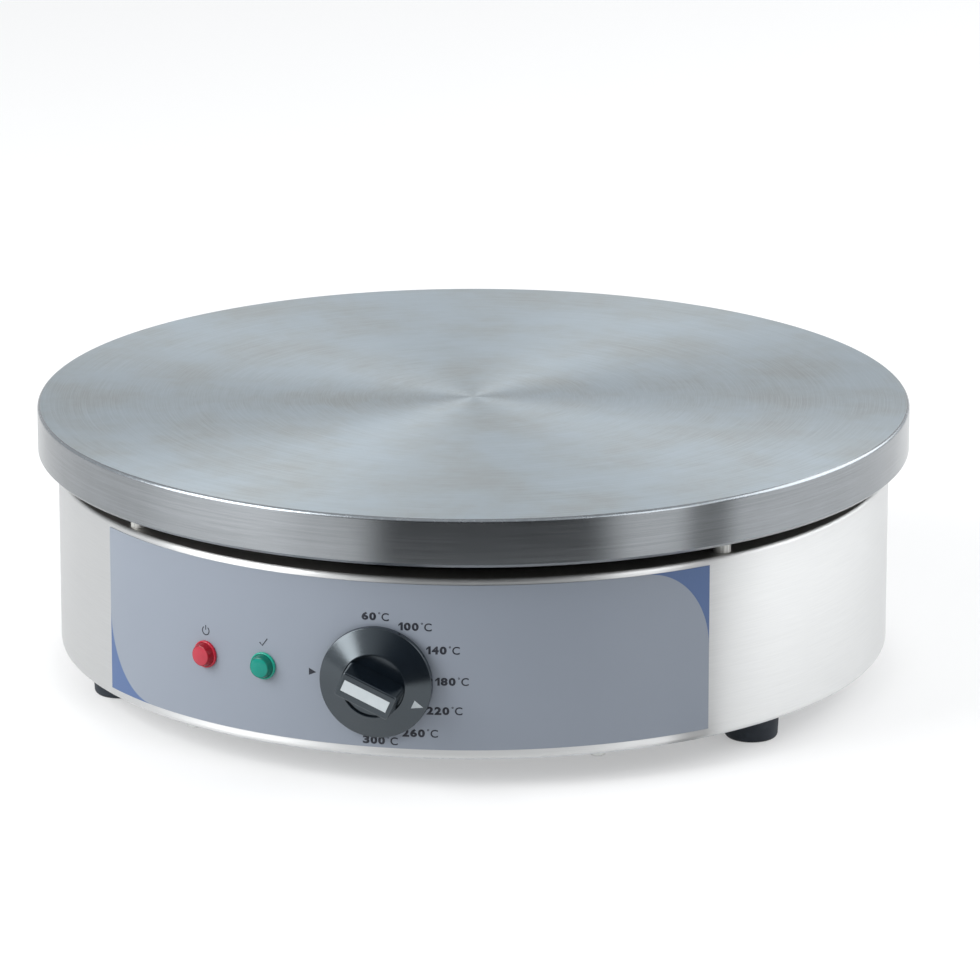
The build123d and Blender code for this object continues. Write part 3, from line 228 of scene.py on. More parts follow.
def finished(mesh, name, finishes, body, slot, *replaced):
    """Turns a bmesh into a piece of the object, hangs it on the body that it rides on, and hides
    the parts that it stands for.
    """
    flat = bpy.data.meshes.new(name)
    mesh.to_mesh(flat)
    mesh.free()
    for finish in finishes:
        flat.materials.append(finish.material)
    piece = bpy.data.objects.new(name, flat)
    scene.collection.objects.link(piece)
    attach(piece, body)
    if replaced:
        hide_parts(*replaced)


def smooth(mesh, sharp_from):
    """Shades the faces smooth, but keeps an edge sharp at a steep turn or a change of finish."""
    for face in mesh.faces:
        face.smooth = True
    for edge in mesh.edges:
        one_finish = len({face.material_index for face in edge.link_faces}) == 1
        edge.smooth = one_finish and edge.calc_face_angle(0.0) < math.radians(sharp_from)


def arc(centre, radius, start, end, steps):
    """Points of an arc in (radius, height), at angles in degrees from outwards towards up."""
    turns = [math.radians(start + (end - start) * step / steps) for step in range(steps + 1)]
    return [
        (centre[0] + radius * math.cos(turn), centre[1] + radius * math.sin(turn))
        for turn in turns]


def spun(mesh, outline, steps):
    """Turns a line of (radius, height) points right round the Z axis, in the mesh."""
    verts = [mesh.verts.new((radius, 0, level)) for radius, level in outline]
    edges = [mesh.edges.new(pair) for pair in zip(verts, verts[1:])]
    bmesh.ops.spin(
        mesh, geom=verts + edges, axis=(0, 0, 1), angle=2 * math.pi, steps=steps, use_merge=True)
    bmesh.ops.remove_doubles(mesh, verts=mesh.verts, dist=WELD)


def turned(name, pull):
    """A metal with fine marks round the axis, which draw its reflections out across them."""
    return Finish(name, {"Metallic": 1.0, "Anisotropic": pull, "Anisotropic Rotation": 0.25})


seasoned = turned("seasoned_iron", pull=0.5)
rings = seasoned.marks(along=4.0, outwards=2600.0, detail=5.0, roughness=0.65)
clouds = seasoned.noise(scale=26.0, detail=5.0, roughness=0.6)
spread = seasoned.ramp(clouds, low=0.32, high=0.76)
oil = seasoned.blend(spread, paint(170, 179, 185), paint(163, 167, 167))
cut = seasoned.ramp(rings, low=0.36, high=0.72)
seasoned.tint(cut * 0.42, oil, paint(190, 198, 205))
seasoned.vary("Roughness", 0.66 + rings * 0.08 + clouds * 0.06)
seasoned.relief(rings, depth=0.006 * MM)

rim_turning = turned("turned_iron_rim", pull=0.9)
rings = rim_turning.marks(along=4.0, upwards=2600.0, detail=5.0, roughness=0.65)
stains = rim_turning.noise(scale=60.0, detail=4.0, roughness=0.6)
cut = rim_turning.ramp(rings, low=0.30, high=0.72)
metal = rim_turning.blend(cut, paint(140, 144, 147), paint(157, 161, 165))
rim_turning.tint(stains * 0.3, metal, paint(119, 121, 121))
rim_turning.vary("Roughness", 0.19 + rings * 0.06 + stains * 0.05)
rim_turning.relief(rings, depth=0.006 * MM)

worn_edge = Finish("worn_iron_edge", {"Metallic": 1.0})
rub = worn_edge.marks(along=60.0, upwards=600.0, detail=3.0)
worn_edge.tint(rub, paint(132, 138, 143), paint(160, 165, 170))
worn_edge.vary("Roughness", 0.20 + rub * 0.12)
worn_edge.relief(rub, depth=0.01 * MM)

raw_casting = Finish("sand_cast_iron", {"Metallic": 0.6})
sand = raw_casting.noise(scale=900.0, detail=3.0)
raw_casting.tint(sand, paint(40, 41, 42), paint(66, 66, 66))
raw_casting.vary("Roughness", 0.62 + sand * 0.2)
raw_casting.relief(sand, depth=0.06 * MM)

plate = bmesh.new()
outline = [(0, PLATE_TOP), (PLATE_R / 2, PLATE_TOP)]
outline += arc(
    (PLATE_R - TOP_ROUNDING, PLATE_TOP - TOP_ROUNDING), TOP_ROUNDING, 90, 0, steps=10)
outline += [(PLATE_R, RIM_BOTTOM + RIM_CHAMFER), (PLATE_R - RIM_CHAMFER, RIM_BOTTOM)]
outline += [(LAND_R, RIM_BOTTOM)]
outline += arc((LAND_R - ROOT_FILLET, WEB_BOTTOM - ROOT_FILLET), ROOT_FILLET, 0, 90, steps=4)
outline += [(0, WEB_BOTTOM)]
spun(plate, outline, PLATE_STEPS)
TOP_FINISH, RIM_FINISH, EDGE_FINISH, CAST_FINISH = range(4)
for face in plate.faces:
    middle = face.calc_center_median()
    depth = (PLATE_TOP - middle.z) / TOP_ROUNDING
    if depth < TOP_FINISH_TO:
        face.material_index = TOP_FINISH
    elif WORN_FROM < depth < WORN_TO:
        face.material_index = EDGE_FINISH
    elif middle.to_2d().length > PLATE_R - RIM_CHAMFER:
        face.material_index = RIM_FINISH
    else:
        face.material_index = CAST_FINISH


def thicken(mesh, faces, step):
    """Extrudes flat faces into a solid, and returns the vertices of its far side."""
    grown = bmesh.ops.extrude_face_region(mesh, geom=faces)["geom"]
    far = [part for part in grown if isinstance(part, bmesh.types.BMVert)]
    bmesh.ops.translate(mesh, verts=far, vec=step)
    return far


foot, crest = WEB_BOTTOM + EMBED, WEB_BOTTOM - RIB_H
for count, first_turn, start, end, start_slope, end_slope in RIBS:
    corners = [
        (start * MM, foot), (end * MM, foot),
        ((end - end_slope) * MM, crest), ((start + start_slope) * MM, crest)]
    for step in range(count):
        near = [plate.verts.new((x, -RIB_T / 2, z)) for x, z in corners]
        side = plate.faces.new(near)
        side.material_index = CAST_FINISH
        far = thicken(plate, [side], (0, RIB_T, 0))
        turn = Matrix.Rotation(math.radians(first_turn + 360 / count * step), 3, "Z")
        bmesh.ops.rotate(plate, verts=near + far, matrix=turn)


def add_to(whole, part):
    """Moves all that one bmesh holds into another."""
    loose = bpy.data.meshes.new("loose")
    part.to_mesh(loose)
    part.free()
    whole.from_mesh(loose)
    bpy.data.meshes.remove(loose)


def add_boss(outline, x, y):
    """A round boss under the web, spun from a line and set at a place."""
    shape = bmesh.new()
    spun(shape, outline, BOSS_STEPS)
    for face in shape.faces:
        face.material_index = CAST_FINISH
    bmesh.ops.translate(shape, verts=shape.verts, vec=(x, y, 0))
    add_to(plate, shape)


crest = WEB_BOTTOM - HUB_H
add_boss([(0, foot), (HUB_R, foot), (HUB_R, crest), (0, crest)], 0, 0)
crest = WEB_BOTTOM - BOSS_H
wall = [(BOSS_BORE_R, foot), (BOSS_R, foot), (BOSS_R, crest), (BOSS_BORE_R, crest)]
for step in range(BOSSES):
    turn = math.radians(FIRST_BOSS + 360 / BOSSES * step)
    add_boss(wall + wall[:1], BOSS_CIRCLE_R * math.sin(turn), -BOSS_CIRCLE_R * math.cos(turn))
bmesh.ops.recalc_face_normals(plate, faces=plate.faces)
smooth(plate, sharp_from=30)
finished(
    plate, "griddle_plate", (seasoned, rim_turning, worn_edge, raw_casting),
    "machine", "cast_iron", "cooking_plate")

# ------------------------------------------------------------------ posts, studs and nuts
# Four bright posts, parted off from round bar, stand on the housing's flange and carry the plate.
# Zinc-plated studs pass through them into the rim.


def dress(finish, *names):
    """Gives its finish to each piece that is carried over from the frame."""
    for name in names:
        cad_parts[name].material_slots[0].material = finish.material


bright = Finish("satin_plated_steel", {"Metallic": 0.25, "Anisotropic": 0.4})
lathe_marks = bright.marks(along=160.0, upwards=60.0, detail=3.0)
shine = bright.ramp(lathe_marks, low=0.3, high=0.7)
bright.tint(shine, paint(196, 196, 192), paint(240, 240, 236))
bright.vary("Roughness", 0.30 + lathe_marks * 0.16)
bright.relief(lathe_marks, depth=0.01 * MM)
dress(bright, "spacer_posts")


def plated(name, dull, shine):
    """A zinc-plated or similar metal: bright crystals, with a faint bloom between them."""
    finish = Finish(name, {"Metallic": 1.0})
    crystals = finish.noise(scale=1500.0, detail=3.0)
    bloom = finish.noise(scale=90.0, detail=3.0)
    finish.tint(finish.ramp(bloom, low=0.3, high=0.7), dull, shine)
    finish.vary("Roughness", 0.24 + crystals * 0.14 + bloom * 0.14)
    finish.relief(crystals, depth=0.01 * MM)
    return finish


zinc = plated("zinc_plate", paint(172, 174, 172), paint(208, 210, 208))
dress(zinc, "plate_studs", "plate_nuts")

# ------------------------------------------------------------------ drum housing
# A band of brushed stainless sheet, rolled to a drum, with its top edge turned in to a flange and
# its hem turned in over the base plate.  The brushing runs round the drum.

HOUSING_R = 190.8 * MM
HOUSING_BOTTOM = 14.2 * MM
HOUSING_TOP = 96.5 * MM
TOP_OPENING_R = 164 * MM
HEM_R = 176.8 * MM
SHEET_T = 1 * MM
TOP_BEND_R = 1.9 * MM
HEM_BEND_R = 2 * MM
TINT_AND_SHADE_DEPTH = 0.1 * MM
HOUSING_STEPS = 360

stainless = turned("brushed_stainless", pull=0.9)
brushing = stainless.marks(along=9.0, outwards=300.0, upwards=2400.0, detail=4.0, roughness=0.6)
handling = stainless.noise(scale=22.0, detail=3.0)
stainless.tint(brushing, paint(207, 208, 208), paint(223, 224, 224))
stainless.vary("Roughness", 0.32 + brushing * 0.10 + handling * 0.06)
stainless.relief(brushing, depth=0.004 * MM)

# The flange lies under the hot plate, and its brushing has dulled and tinted there; its darker
# colour is also painted shade of the gap under the plate.
tinted_and_shaded = Finish("heat_tinted_and_shaded_stainless", {"Metallic": 1.0})
temper = tinted_and_shaded.noise(scale=34.0, detail=3.0)
tinted_and_shaded.tint(temper, paint(182, 181, 180), paint(198, 195, 190))
tinted_and_shaded.vary("Roughness", 0.40 + temper * 0.14)

top_bend = (HOUSING_R - TOP_BEND_R, HOUSING_TOP - TOP_BEND_R)
hem_bend = (HOUSING_R - HEM_BEND_R, HOUSING_BOTTOM + HEM_BEND_R)
outline = [(TOP_OPENING_R, HOUSING_TOP)]
outline += arc(top_bend, TOP_BEND_R, 90, 0, steps=8)
outline += arc(hem_bend, HEM_BEND_R, 0, -90, steps=6)
outline += [(HEM_R, HOUSING_BOTTOM), (HEM_R, HOUSING_BOTTOM + SHEET_T)]
outline += arc(hem_bend, HEM_BEND_R - SHEET_T, -90, 0, steps=4)
outline += arc(top_bend, TOP_BEND_R - SHEET_T, 0, 90, steps=4)
outline += [(TOP_OPENING_R, HOUSING_TOP - SHEET_T), outline[0]]
drum = bmesh.new()
spun(drum, outline, HOUSING_STEPS)
bmesh.ops.recalc_face_normals(drum, faces=drum.faces)
SHEET_FINISH, FLANGE_FINISH = range(2)
# Faces on the flange take the finish that is heat tint and painted shade.
for face in drum.faces:
    on_flange = face.calc_center_median().z > HOUSING_TOP - TINT_AND_SHADE_DEPTH
    face.material_index = FLANGE_FINISH if on_flange else SHEET_FINISH
smooth(drum, sharp_from=40)
finished(drum, "drum_sheet", [stainless, tinted_and_shaded], "machine", "stainless", "housing_shell")

# ------------------------------------------------------------------ base plate and its screws
# Galvanised sheet, pressed up in the middle and slotted for air.  Its edge shows as a thin line
# under the drum.  Six screws from below hold it to nuts clinched on the hem.

galvanised = Finish("galvanised_sheet", {"Metallic": 1.0})
spangle = galvanised.node(
    "ShaderNodeTexVoronoi", {}, {"Vector": galvanised.place(), "Scale": 260.0}, "Color")
spangle = galvanised.node("ShaderNodeSeparateColor", {}, {0: spangle})
galvanised.tint(spangle, paint(176, 179, 182), paint(206, 209, 211))
galvanised.vary("Roughness", 0.30 + spangle * 0.18)
dress(galvanised, "base_plate")
dress(zinc, "base_screws", "clinch_nuts", "foot_screws", "foot_nuts")

# ------------------------------------------------------------------ feet
# Three feet moulded in rubber, slightly tapered.  Each is held to the base plate by a screw up
# through its well.  The seal of the cord gland is of the same rubber.

rubber = Finish("moulded_rubber", {"Specular IOR Level": 0.35})
pores = rubber.noise(scale=2400.0, detail=3.0)
dust = rubber.noise(scale=120.0, detail=3.0)
rubber.tint(rubber.ramp(dust, low=0.4, high=0.8), paint(38, 44, 52), paint(56, 62, 70))
rubber.vary("Roughness", 0.52 + dust * 0.2)
rubber.relief(pores, depth=0.03 * MM)
dress(rubber, "feet", "gland_seal")

# ------------------------------------------------------------------ heater and clamp disc
# A sheathed tube in two rings, darkened by heat, is pressed against the plate by a zinc-plated
# disc.  Steel pins leave its ends.

sheath = Finish("heat_darkened_sheath", {"Metallic": 1.0})
temper = sheath.noise(scale=30.0, detail=3.0)
sheath.tint(temper, paint(92, 84, 74), paint(74, 78, 92))
sheath.vary("Roughness", 0.35 + temper * 0.2)
dress(sheath, "heating_element")
dress(zinc, "element_pins", "clamp_disc", "clamp_studs", "clamp_nuts")

# ------------------------------------------------------------------ inner pan, rivets and blanket
# A black enamelled pan hangs in the drum by its flange, which is riveted to the housing's.  Its
# upturned lip stands dark in the gap under the plate.  Mineral wool fills it below the heater.

enamel = Finish("black_enamel", {"Coat Roughness": 0.12})
ripple = enamel.noise(scale=160.0, detail=3.0)
enamel.tint(ripple, paint(14, 15, 17), paint(30, 31, 34))
enamel.vary("Roughness", 0.22 + ripple * 0.16)
enamel.vary("Coat Weight", 0.3 + ripple * 0.3)
enamel.relief(ripple, depth=0.05 * MM)
dress(enamel, "inner_pan", "pan_rivets")

wool = Finish("mineral_wool", {"Roughness": 0.95, "Sheen Weight": 0.3})
fibres = wool.noise(scale=700.0, detail=6.0, roughness=0.7)
wool.tint(fibres, paint(196, 184, 140), paint(228, 220, 190))
wool.relief(fibres, depth=0.8 * MM)
dress(wool, "insulation_blanket")

# ------------------------------------------------------------------ front label
# A grey printed film glued round the front of the drum.  Two corners, top right and bottom left,
# are blue outside a quarter of an ellipse.

LABEL_R = 191.15 * MM
LABEL_T = 0.3 * MM
LABEL_BOTTOM = 18.5 * MM
LABEL_TOP = 93.6 * MM
LABEL_HALF_ANGLE = math.radians(45.4)
LABEL_STEPS = 120
CORNER_W = 32 * MM
CORNER_H = 38 * MM

# run is how far round the film a point lies from its middle, and up is its height.
film = Finish("printed_film", {"Specular IOR Level": 0.75})
across = film.node("ShaderNodeSeparateXYZ", {}, {0: film.place()})
forward = 0.0 - across.twin("Y")
up = across.twin("Z")
run = across.maths("ARCTAN2", across, forward) * LABEL_R


def outside_corner(run, up):
    """1 in the corner that lies outside the quarter-ellipse, for a corner at the top right."""
    over = (run - (LABEL_R * LABEL_HALF_ANGLE - CORNER_W)) / CORNER_W
    rise = (up - (LABEL_TOP - CORNER_H)) / CORNER_H
    beyond = (over * over + rise * rise) > 1.0
    return beyond * (over > 0.0) * (rise > 0.0)


blue = outside_corner(run, up) + outside_corner(0.0 - run, LABEL_TOP + LABEL_BOTTOM - up)
grain = film.noise(scale=2600.0, detail=3.0)
tone = film.noise(scale=18.0, detail=2.0)
grey_ink = film.blend(tone, paint(131, 139, 151), paint(136, 144, 156))
blue_ink = film.blend(tone, paint(66, 92, 136), paint(71, 97, 141))
film.tint(blue, grey_ink, blue_ink)
film.vary("Roughness", 0.40 + grain * 0.12)
film.relief(grain, depth=0.006 * MM)

label = bmesh.new()
section = [
    label.verts.new((radius, 0, level))
    for radius, level in (
        (LABEL_R - LABEL_T, LABEL_BOTTOM), (LABEL_R, LABEL_BOTTOM),
        (LABEL_R, LABEL_TOP), (LABEL_R - LABEL_T, LABEL_TOP))]
label.faces.new(section)
left_end = Matrix.Rotation(-math.pi / 2 - LABEL_HALF_ANGLE, 3, "Z")
bmesh.ops.rotate(label, verts=label.verts, matrix=left_end)
bmesh.ops.spin(
    label, geom=label.verts[:] + label.edges[:] + label.faces[:], axis=(0, 0, 1),
    angle=2 * LABEL_HALF_ANGLE, steps=LABEL_STEPS)
bmesh.ops.recalc_face_normals(label, faces=label.faces)
smooth(label, sharp_from=30)
finished(label, "label_film", [film], "machine", "label_film", "front_label")

# ------------------------------------------------------------------ dial print
# Temperatures, a marker and two lamp symbols, screen-printed on the film in dark slate ink.  The
# numbers are bold and stand round the knob, and each is followed by a light degree sign and C.

CONTROL_Z = 49 * MM
INK_T = 0.02 * MM
INK_GAP = 0.01 * MM
DIGIT_WEIGHT = 0.05
LIGHT_WEIGHT = 0.014
LETTER_STEPS = 5
NEAR = 1e-5
# Print is drawn flat, in millimetres about the knob's axis, and bends at lines this far apart.
WRAP_STEP = 1.5
WRAP_LINES = range(-80, 50)
# The middle of each number with its sign, in the same millimetres.
DIAL = {
    "60": (-0.8, 29.2), "100": (16.8, 25.4), "140": (29.0, 15.0), "180": (32.9, 0.8),
    "220": (29.6, -12.6), "260": (18.9, -23.1), "300": (1.2, -27.3)}

ink = Finish("slate_ink", {"Specular IOR Level": 0.4})
screen = ink.noise(scale=3000.0, detail=2.0)
ink.tint(screen, paint(24, 28, 38), paint(36, 40, 50))
ink.vary("Roughness", 0.42 + screen * 0.15)


def lettering(words, weight):
    """Flat letters one unit high, made a mesh."""
    curve = bpy.data.curves.new("lettering", "FONT")
    curve.body = words
    curve.offset = weight
    curve.resolution_u = LETTER_STEPS
    holder = bpy.data.objects.new("lettering", curve)
    scene.collection.objects.link(holder)
    drawn_up = holder.evaluated_get(bpy.context.evaluated_depsgraph_get())
    letters = bpy.data.meshes.new_from_object(drawn_up)
    bpy.data.objects.remove(holder)
    mesh = bmesh.new()
    mesh.from_mesh(letters)
    bmesh.ops.remove_doubles(mesh, verts=mesh.verts, dist=NEAR)
    return mesh


def set_print(sheet, shape, corner, size):
    """Fits a flat shape into a rectangle and adds it to the sheet."""
    lows = [min(vert.co[axis] for vert in shape.verts) for axis in (0, 1)]
    spans = [max(vert.co[axis] for vert in shape.verts) - lows[axis] for axis in (0, 1)]
    bmesh.ops.translate(shape, verts=shape.verts, vec=(-lows[0], -lows[1], 0))
    bmesh.ops.scale(shape, verts=shape.verts, vec=(size[0] / spans[0], size[1] / spans[1], 1))
    bmesh.ops.translate(shape, verts=shape.verts, vec=(*corner, 0))
    add_to(sheet, shape)


def printed(sheet, name):
    """Thickens flat print to the depth of its ink, and bends it round the film."""
    for line in WRAP_LINES:
        bmesh.ops.bisect_plane(
            sheet, geom=sheet.verts[:] + sheet.edges[:] + sheet.faces[:], dist=NEAR,
            plane_co=(line * WRAP_STEP, 0, 0), plane_no=(1, 0, 0))
    thicken(sheet, sheet.faces[:], (0, 0, INK_T / MM))
    bmesh.ops.recalc_face_normals(sheet, faces=sheet.faces)
    for vert in sheet.verts:
        turn = vert.co.x * MM / LABEL_R
        reach = LABEL_R + INK_GAP + vert.co.z * MM
        vert.co = (reach * math.sin(turn), -reach * math.cos(turn), CONTROL_Z + vert.co.y * MM)
    finished(sheet, name, [ink], "machine", "label_film")


DIGIT_H = 3.65
DIGIT_W = 3.05
NARROW_W = 2.0
DIGIT_GAP = 0.42
DEGREE_W = 0.9
DEGREE_RISE = 0.18
DEGREE_GAP = 0.55
LIGHT_W = 3.3
ONE = ((0.55, 0), (0.84, 0), (0.84, 0.70), (0.60, 0.70), (0.28, 0.50), (0.28, 0.36), (0.55, 0.48))
MARKER = ((-31.4, -0.3), (-27.9, 1.3), (-31.4, 2.9))


def drawn(corners):
    """A flat shape from its corners."""
    shape = bmesh.new()
    shape.faces.new([shape.verts.new((*corner, 0)) for corner in corners])
    return shape


numbers = bmesh.new()
for number, (x, y) in DIAL.items():
    entry = bmesh.new()
    base = y - DIGIT_H / 2
    reach = 0
    for digit in number:
        shape = drawn(ONE) if digit == "1" else lettering(digit, DIGIT_WEIGHT)
        width = NARROW_W if digit == "1" else DIGIT_W
        set_print(entry, shape, (reach, base), (width, DIGIT_H))
        reach += width + DIGIT_GAP
    degree_at = (reach + DEGREE_GAP, base + DIGIT_H + DEGREE_RISE - DEGREE_W)
    set_print(entry, lettering("°", LIGHT_WEIGHT), degree_at, (DEGREE_W, DEGREE_W))
    letter_at = reach + 2 * DEGREE_GAP + DEGREE_W
    set_print(entry, lettering("C", LIGHT_WEIGHT), (letter_at, base), (LIGHT_W, DIGIT_H))
    whole = letter_at + LIGHT_W
    set_print(numbers, entry, (x - whole / 2, base), (whole, DIGIT_H + DEGREE_RISE))
printed(numbers, "dial_numbers")
printed(drawn(MARKER), "dial_marker")

# The lamp symbols: a broken ring with a bar for power above the red lamp, a tick above the green.
SYMBOL_Y = 11.6
SYMBOL_R = 1.9
SYMBOL_LINE = 0.5
RED_X = -84.7
GREEN_X = -53.7
# The ring is open for this many degrees to each side of its top.
RING_OPENS = 35
RING_STEPS = 28
# The ends of the bar and the corners of the tick, in shares of the ring's radius.
BAR = ((0, 0.2), (0, 1.35))
TICK = ((-1, -0.1), (-0.3, -0.85), (1.1, 1))


def stroked(corners, width):
    """A line of even width through the corners, as a flat shape."""
    shape = bmesh.new()
    lefts, rights = [], []
    for step, corner in enumerate(corners):
        before = Vector(corners[max(step - 1, 0)])
        after = Vector(corners[min(step + 1, len(corners) - 1)])
        across = (after - before).orthogonal().normalized() * width / 2
        lefts.append(shape.verts.new((*(Vector(corner) + across), 0)))
        rights.append(shape.verts.new((*(Vector(corner) - across), 0)))
    for step in range(len(corners) - 1):
        shape.faces.new((lefts[step], lefts[step + 1], rights[step + 1], rights[step]))
    bmesh.ops.recalc_face_normals(shape, faces=shape.faces)
    return shape


symbols = bmesh.new()
ring = arc((RED_X, SYMBOL_Y), SYMBOL_R, 90 + RING_OPENS, 450 - RING_OPENS, RING_STEPS)
bar = [(RED_X + SYMBOL_R * x, SYMBOL_Y + SYMBOL_R * y) for x, y in BAR]
tick = [(GREEN_X + SYMBOL_R * x, SYMBOL_Y + SYMBOL_R * y) for x, y in TICK]
for corners in (ring, bar, tick):
    add_to(symbols, stroked(corners, SYMBOL_LINE))
printed(symbols, "lamp_symbols")

# ------------------------------------------------------------------ thermostat and capillary
# A ceramic-bodied capillary thermostat behind the panel, on a plated bracket, with brass blades
# and bushing.  Its copper-plated bulb lies under the plate.

ceramic = Finish("glazed_ceramic", {})
glaze = ceramic.noise(scale=200.0, detail=3.0)
ceramic.tint(glaze, paint(222, 216, 202), paint(236, 232, 222))
ceramic.vary("Roughness", 0.22 + glaze * 0.2)
dress(ceramic, "thermostat_body", "terminal_block")

brass = plated("brass", paint(186, 152, 84), paint(214, 184, 120))
copper = plated("copper_plate", paint(178, 116, 84), paint(208, 148, 112))
spring = plated("spring_steel", paint(120, 124, 130), paint(160, 164, 170))
dress(
    brass, "thermostat_bushing", "thermostat_blades", "terminal_screws", "earth_stud",
    "earth_nuts")
dress(copper, "sensing_bulb", "capillary_tube")
dress(spring, "bulb_spring", "knob_clip", "lamp_rings")
dress(
    zinc, "thermostat_plate", "thermostat_screws", "thermostat_spindle", "cutout_screws",
    "block_screws")

# ------------------------------------------------------------------ knob
# A black thermoset moulding with a glossy skin, pushed onto the spindle and held by a spring clip.
# A white inlay is let into its grip bar, and a white pointer into its cone.

COOL_GLOSS = (0.82, 0.93, 1.0, 1.0)

thermoset = Finish(
    "black_thermoset", {"Specular IOR Level": 1.0, "Specular Tint": COOL_GLOSS})
skin = thermoset.noise(scale=1800.0, detail=3.0)
touch = thermoset.noise(scale=70.0, detail=3.0)
thermoset.tint(touch, paint(10, 16, 22), paint(18, 26, 34))
thermoset.vary("Roughness", 0.12 + skin * 0.07 + touch * 0.07)
thermoset.relief(skin, depth=0.01 * MM)
dress(thermoset, "knob")

white = Finish("white_moulding", {})
bloom = white.noise(scale=400.0, detail=3.0)
white.tint(bloom, paint(188, 196, 200), paint(202, 209, 212))
white.vary("Roughness", 0.34 + bloom * 0.16)
dress(white, "knob_inlay", "knob_pointer")

# ------------------------------------------------------------------ indicator lamps
# Clear coloured lenses, pressed through the panel, over neon bulbs in black bodies.  Each has a
# domed face, a tapered side and a thin flange, and a hollow neck that the body plugs into.

LENS_BACK = 184.8 * MM
LENS_SEAT = 191.25 * MM
LENS_TOP = 195.85 * MM
LENS_Z = 49.9 * MM
FACE_R = 4.25 * MM
DOME_H = 0.6 * MM
FACE_EDGE = 0.45 * MM
TAPER_R = 5.4 * MM
FLANGE_R = 6.15 * MM
FLANGE_T = 1.2 * MM
FLANGE_EDGE = 0.5 * MM
NECK_R = 5 * MM
NECK_BORE_R = 3.6 * MM
FACE_T = 1.2 * MM
LENS_STEPS = 48
RED_AZIMUTH = -25.4
GREEN_AZIMUTH = -16.1
# The colours of a lens's face, side and flange, and how much of each is left where it is darker.
# The three are one plastic: the side's deeper colour is painted shade and the flange's paler colour
# a painted highlight.
RED_COLOURS = ((190, 58, 74), (150, 6, 30), (196, 40, 62))
GREEN_COLOURS = ((0, 144, 128), (0, 112, 96), (30, 170, 146))
DARK_SHARE = 0.94


def polycarbonate(name, colour):
    """Clear coloured plastic, a little uneven where it froze in the mould."""
    finish = Finish(
        name, {"Specular IOR Level": 0.3, "Transmission Weight": 0.2, "Emission Strength": 0.10})
    flow = finish.noise(scale=700.0, detail=2.0)
    dark = paint(*[part * DARK_SHARE for part in colour])
    shade = finish.blend(flow, dark, paint(*colour))
    finish.vary("Base Color", shade)
    finish.vary("Emission Color", shade)
    finish.vary("Roughness", 0.10 + flow * 0.10)
    return finish


def lamp_lens(name, node, slot, azimuth, colours):
    """One lens, spun on its own axis and then turned to face out of the drum at its azimuth."""
    dome_r = (FACE_R ** 2 + DOME_H ** 2) / (2 * DOME_H)
    spread = math.degrees(math.asin(FACE_R / dome_r))
    outline = arc((0, LENS_TOP - dome_r), dome_r, 90, 90 - spread, steps=6)
    outline += arc((FACE_R, LENS_TOP - DOME_H - FACE_EDGE), FACE_EDGE, 60, 10, steps=3)
    outline += [(TAPER_R, LENS_SEAT + FLANGE_T)]
    flange_edge = (FLANGE_R - FLANGE_EDGE, LENS_SEAT + FLANGE_T - FLANGE_EDGE)
    outline += arc(flange_edge, FLANGE_EDGE, 90, 0, steps=4)
    outline += [
        (FLANGE_R, LENS_SEAT), (NECK_R, LENS_SEAT), (NECK_R, LENS_BACK), (NECK_BORE_R, LENS_BACK),
        (NECK_BORE_R, LENS_TOP - DOME_H - FACE_T), (0, LENS_TOP - DOME_H - FACE_T)]
    lens = bmesh.new()
    spun(lens, outline, LENS_STEPS)
    parts = ("face", "side", "flange")
    for face in lens.faces:
        height = face.calc_center_median().z
        if height > LENS_TOP - DOME_H:
            face.material_index = parts.index("face")
        elif height > LENS_SEAT + FLANGE_T:
            face.material_index = parts.index("side")
        else:
            face.material_index = parts.index("flange")
    bmesh.ops.recalc_face_normals(lens, faces=lens.faces)
    smooth(lens, sharp_from=35)
    bmesh.ops.rotate(lens, verts=lens.verts, matrix=Matrix.Rotation(math.pi / 2, 3, "X"))
    turn = Matrix.Rotation(math.radians(azimuth), 3, "Z")
    bmesh.ops.rotate(lens, verts=lens.verts, matrix=turn)
    bmesh.ops.translate(lens, verts=lens.verts, vec=(0, 0, LENS_Z))
    # Each part gets its own copy of the plastic: the side painted darker as painted shade, the
    # flange paler as a painted highlight.
    finishes = [polycarbonate(f"{name}_{part}", colour) for part, colour in zip(parts, colours)]
    finished(lens, name, finishes, "machine", slot, node)


lamp_lens("red_lens", "red_lamp_lens", "red_lens", RED_AZIMUTH, RED_COLOURS)
lamp_lens("green_lens", "green_lamp_lens", "green_lens", GREEN_AZIMUTH, GREEN_COLOURS)

# ------------------------------------------------------------------ black nylon parts
# The lamps' bodies behind the panel, the safety cut-out and the cord gland at the rear are moulded
# in black nylon.  The gland's locknut and dome nut screw onto its body.


def moulding(name, dark, light):
    """Matt engineering plastic with a fine spark-eroded texture."""
    finish = Finish(name, {})
    erosion = finish.noise(scale=1600.0, detail=4.0)
    finish.tint(erosion, dark, light)
    finish.vary("Roughness", 0.42 + erosion * 0.2)
    finish.relief(erosion, depth=0.02 * MM)
    return finish


nylon = moulding("black_nylon", paint(28, 29, 31), paint(42, 43, 46))
dress(nylon, "lamp_bodies", "safety_cutout", "gland_body", "gland_locknut", "gland_dome_nut")

# ------------------------------------------------------------------ leads
# Stranded wire in silicone sleeves, brown for the line, the switched and the lamp leads and pale
# blue for the neutral.  They are dressed low over the base plate.

brown = moulding("brown_silicone", paint(120, 72, 44), paint(138, 88, 58))
pale_blue = moulding("blue_silicone", paint(66, 104, 158), paint(86, 124, 178))
dress(brown, "line_lead", "switched_lead", "lamp_leads")
dress(pale_blue, "neutral_lead")

# ------------------------------------------------------------------ studio
# A white paper floor and three softboxes, in a pale room whose front is dim, so that the metal has
# something dark to mirror.  The grey cards on the floor show in reflections alone, and the camera
# sees the walls as plain white.

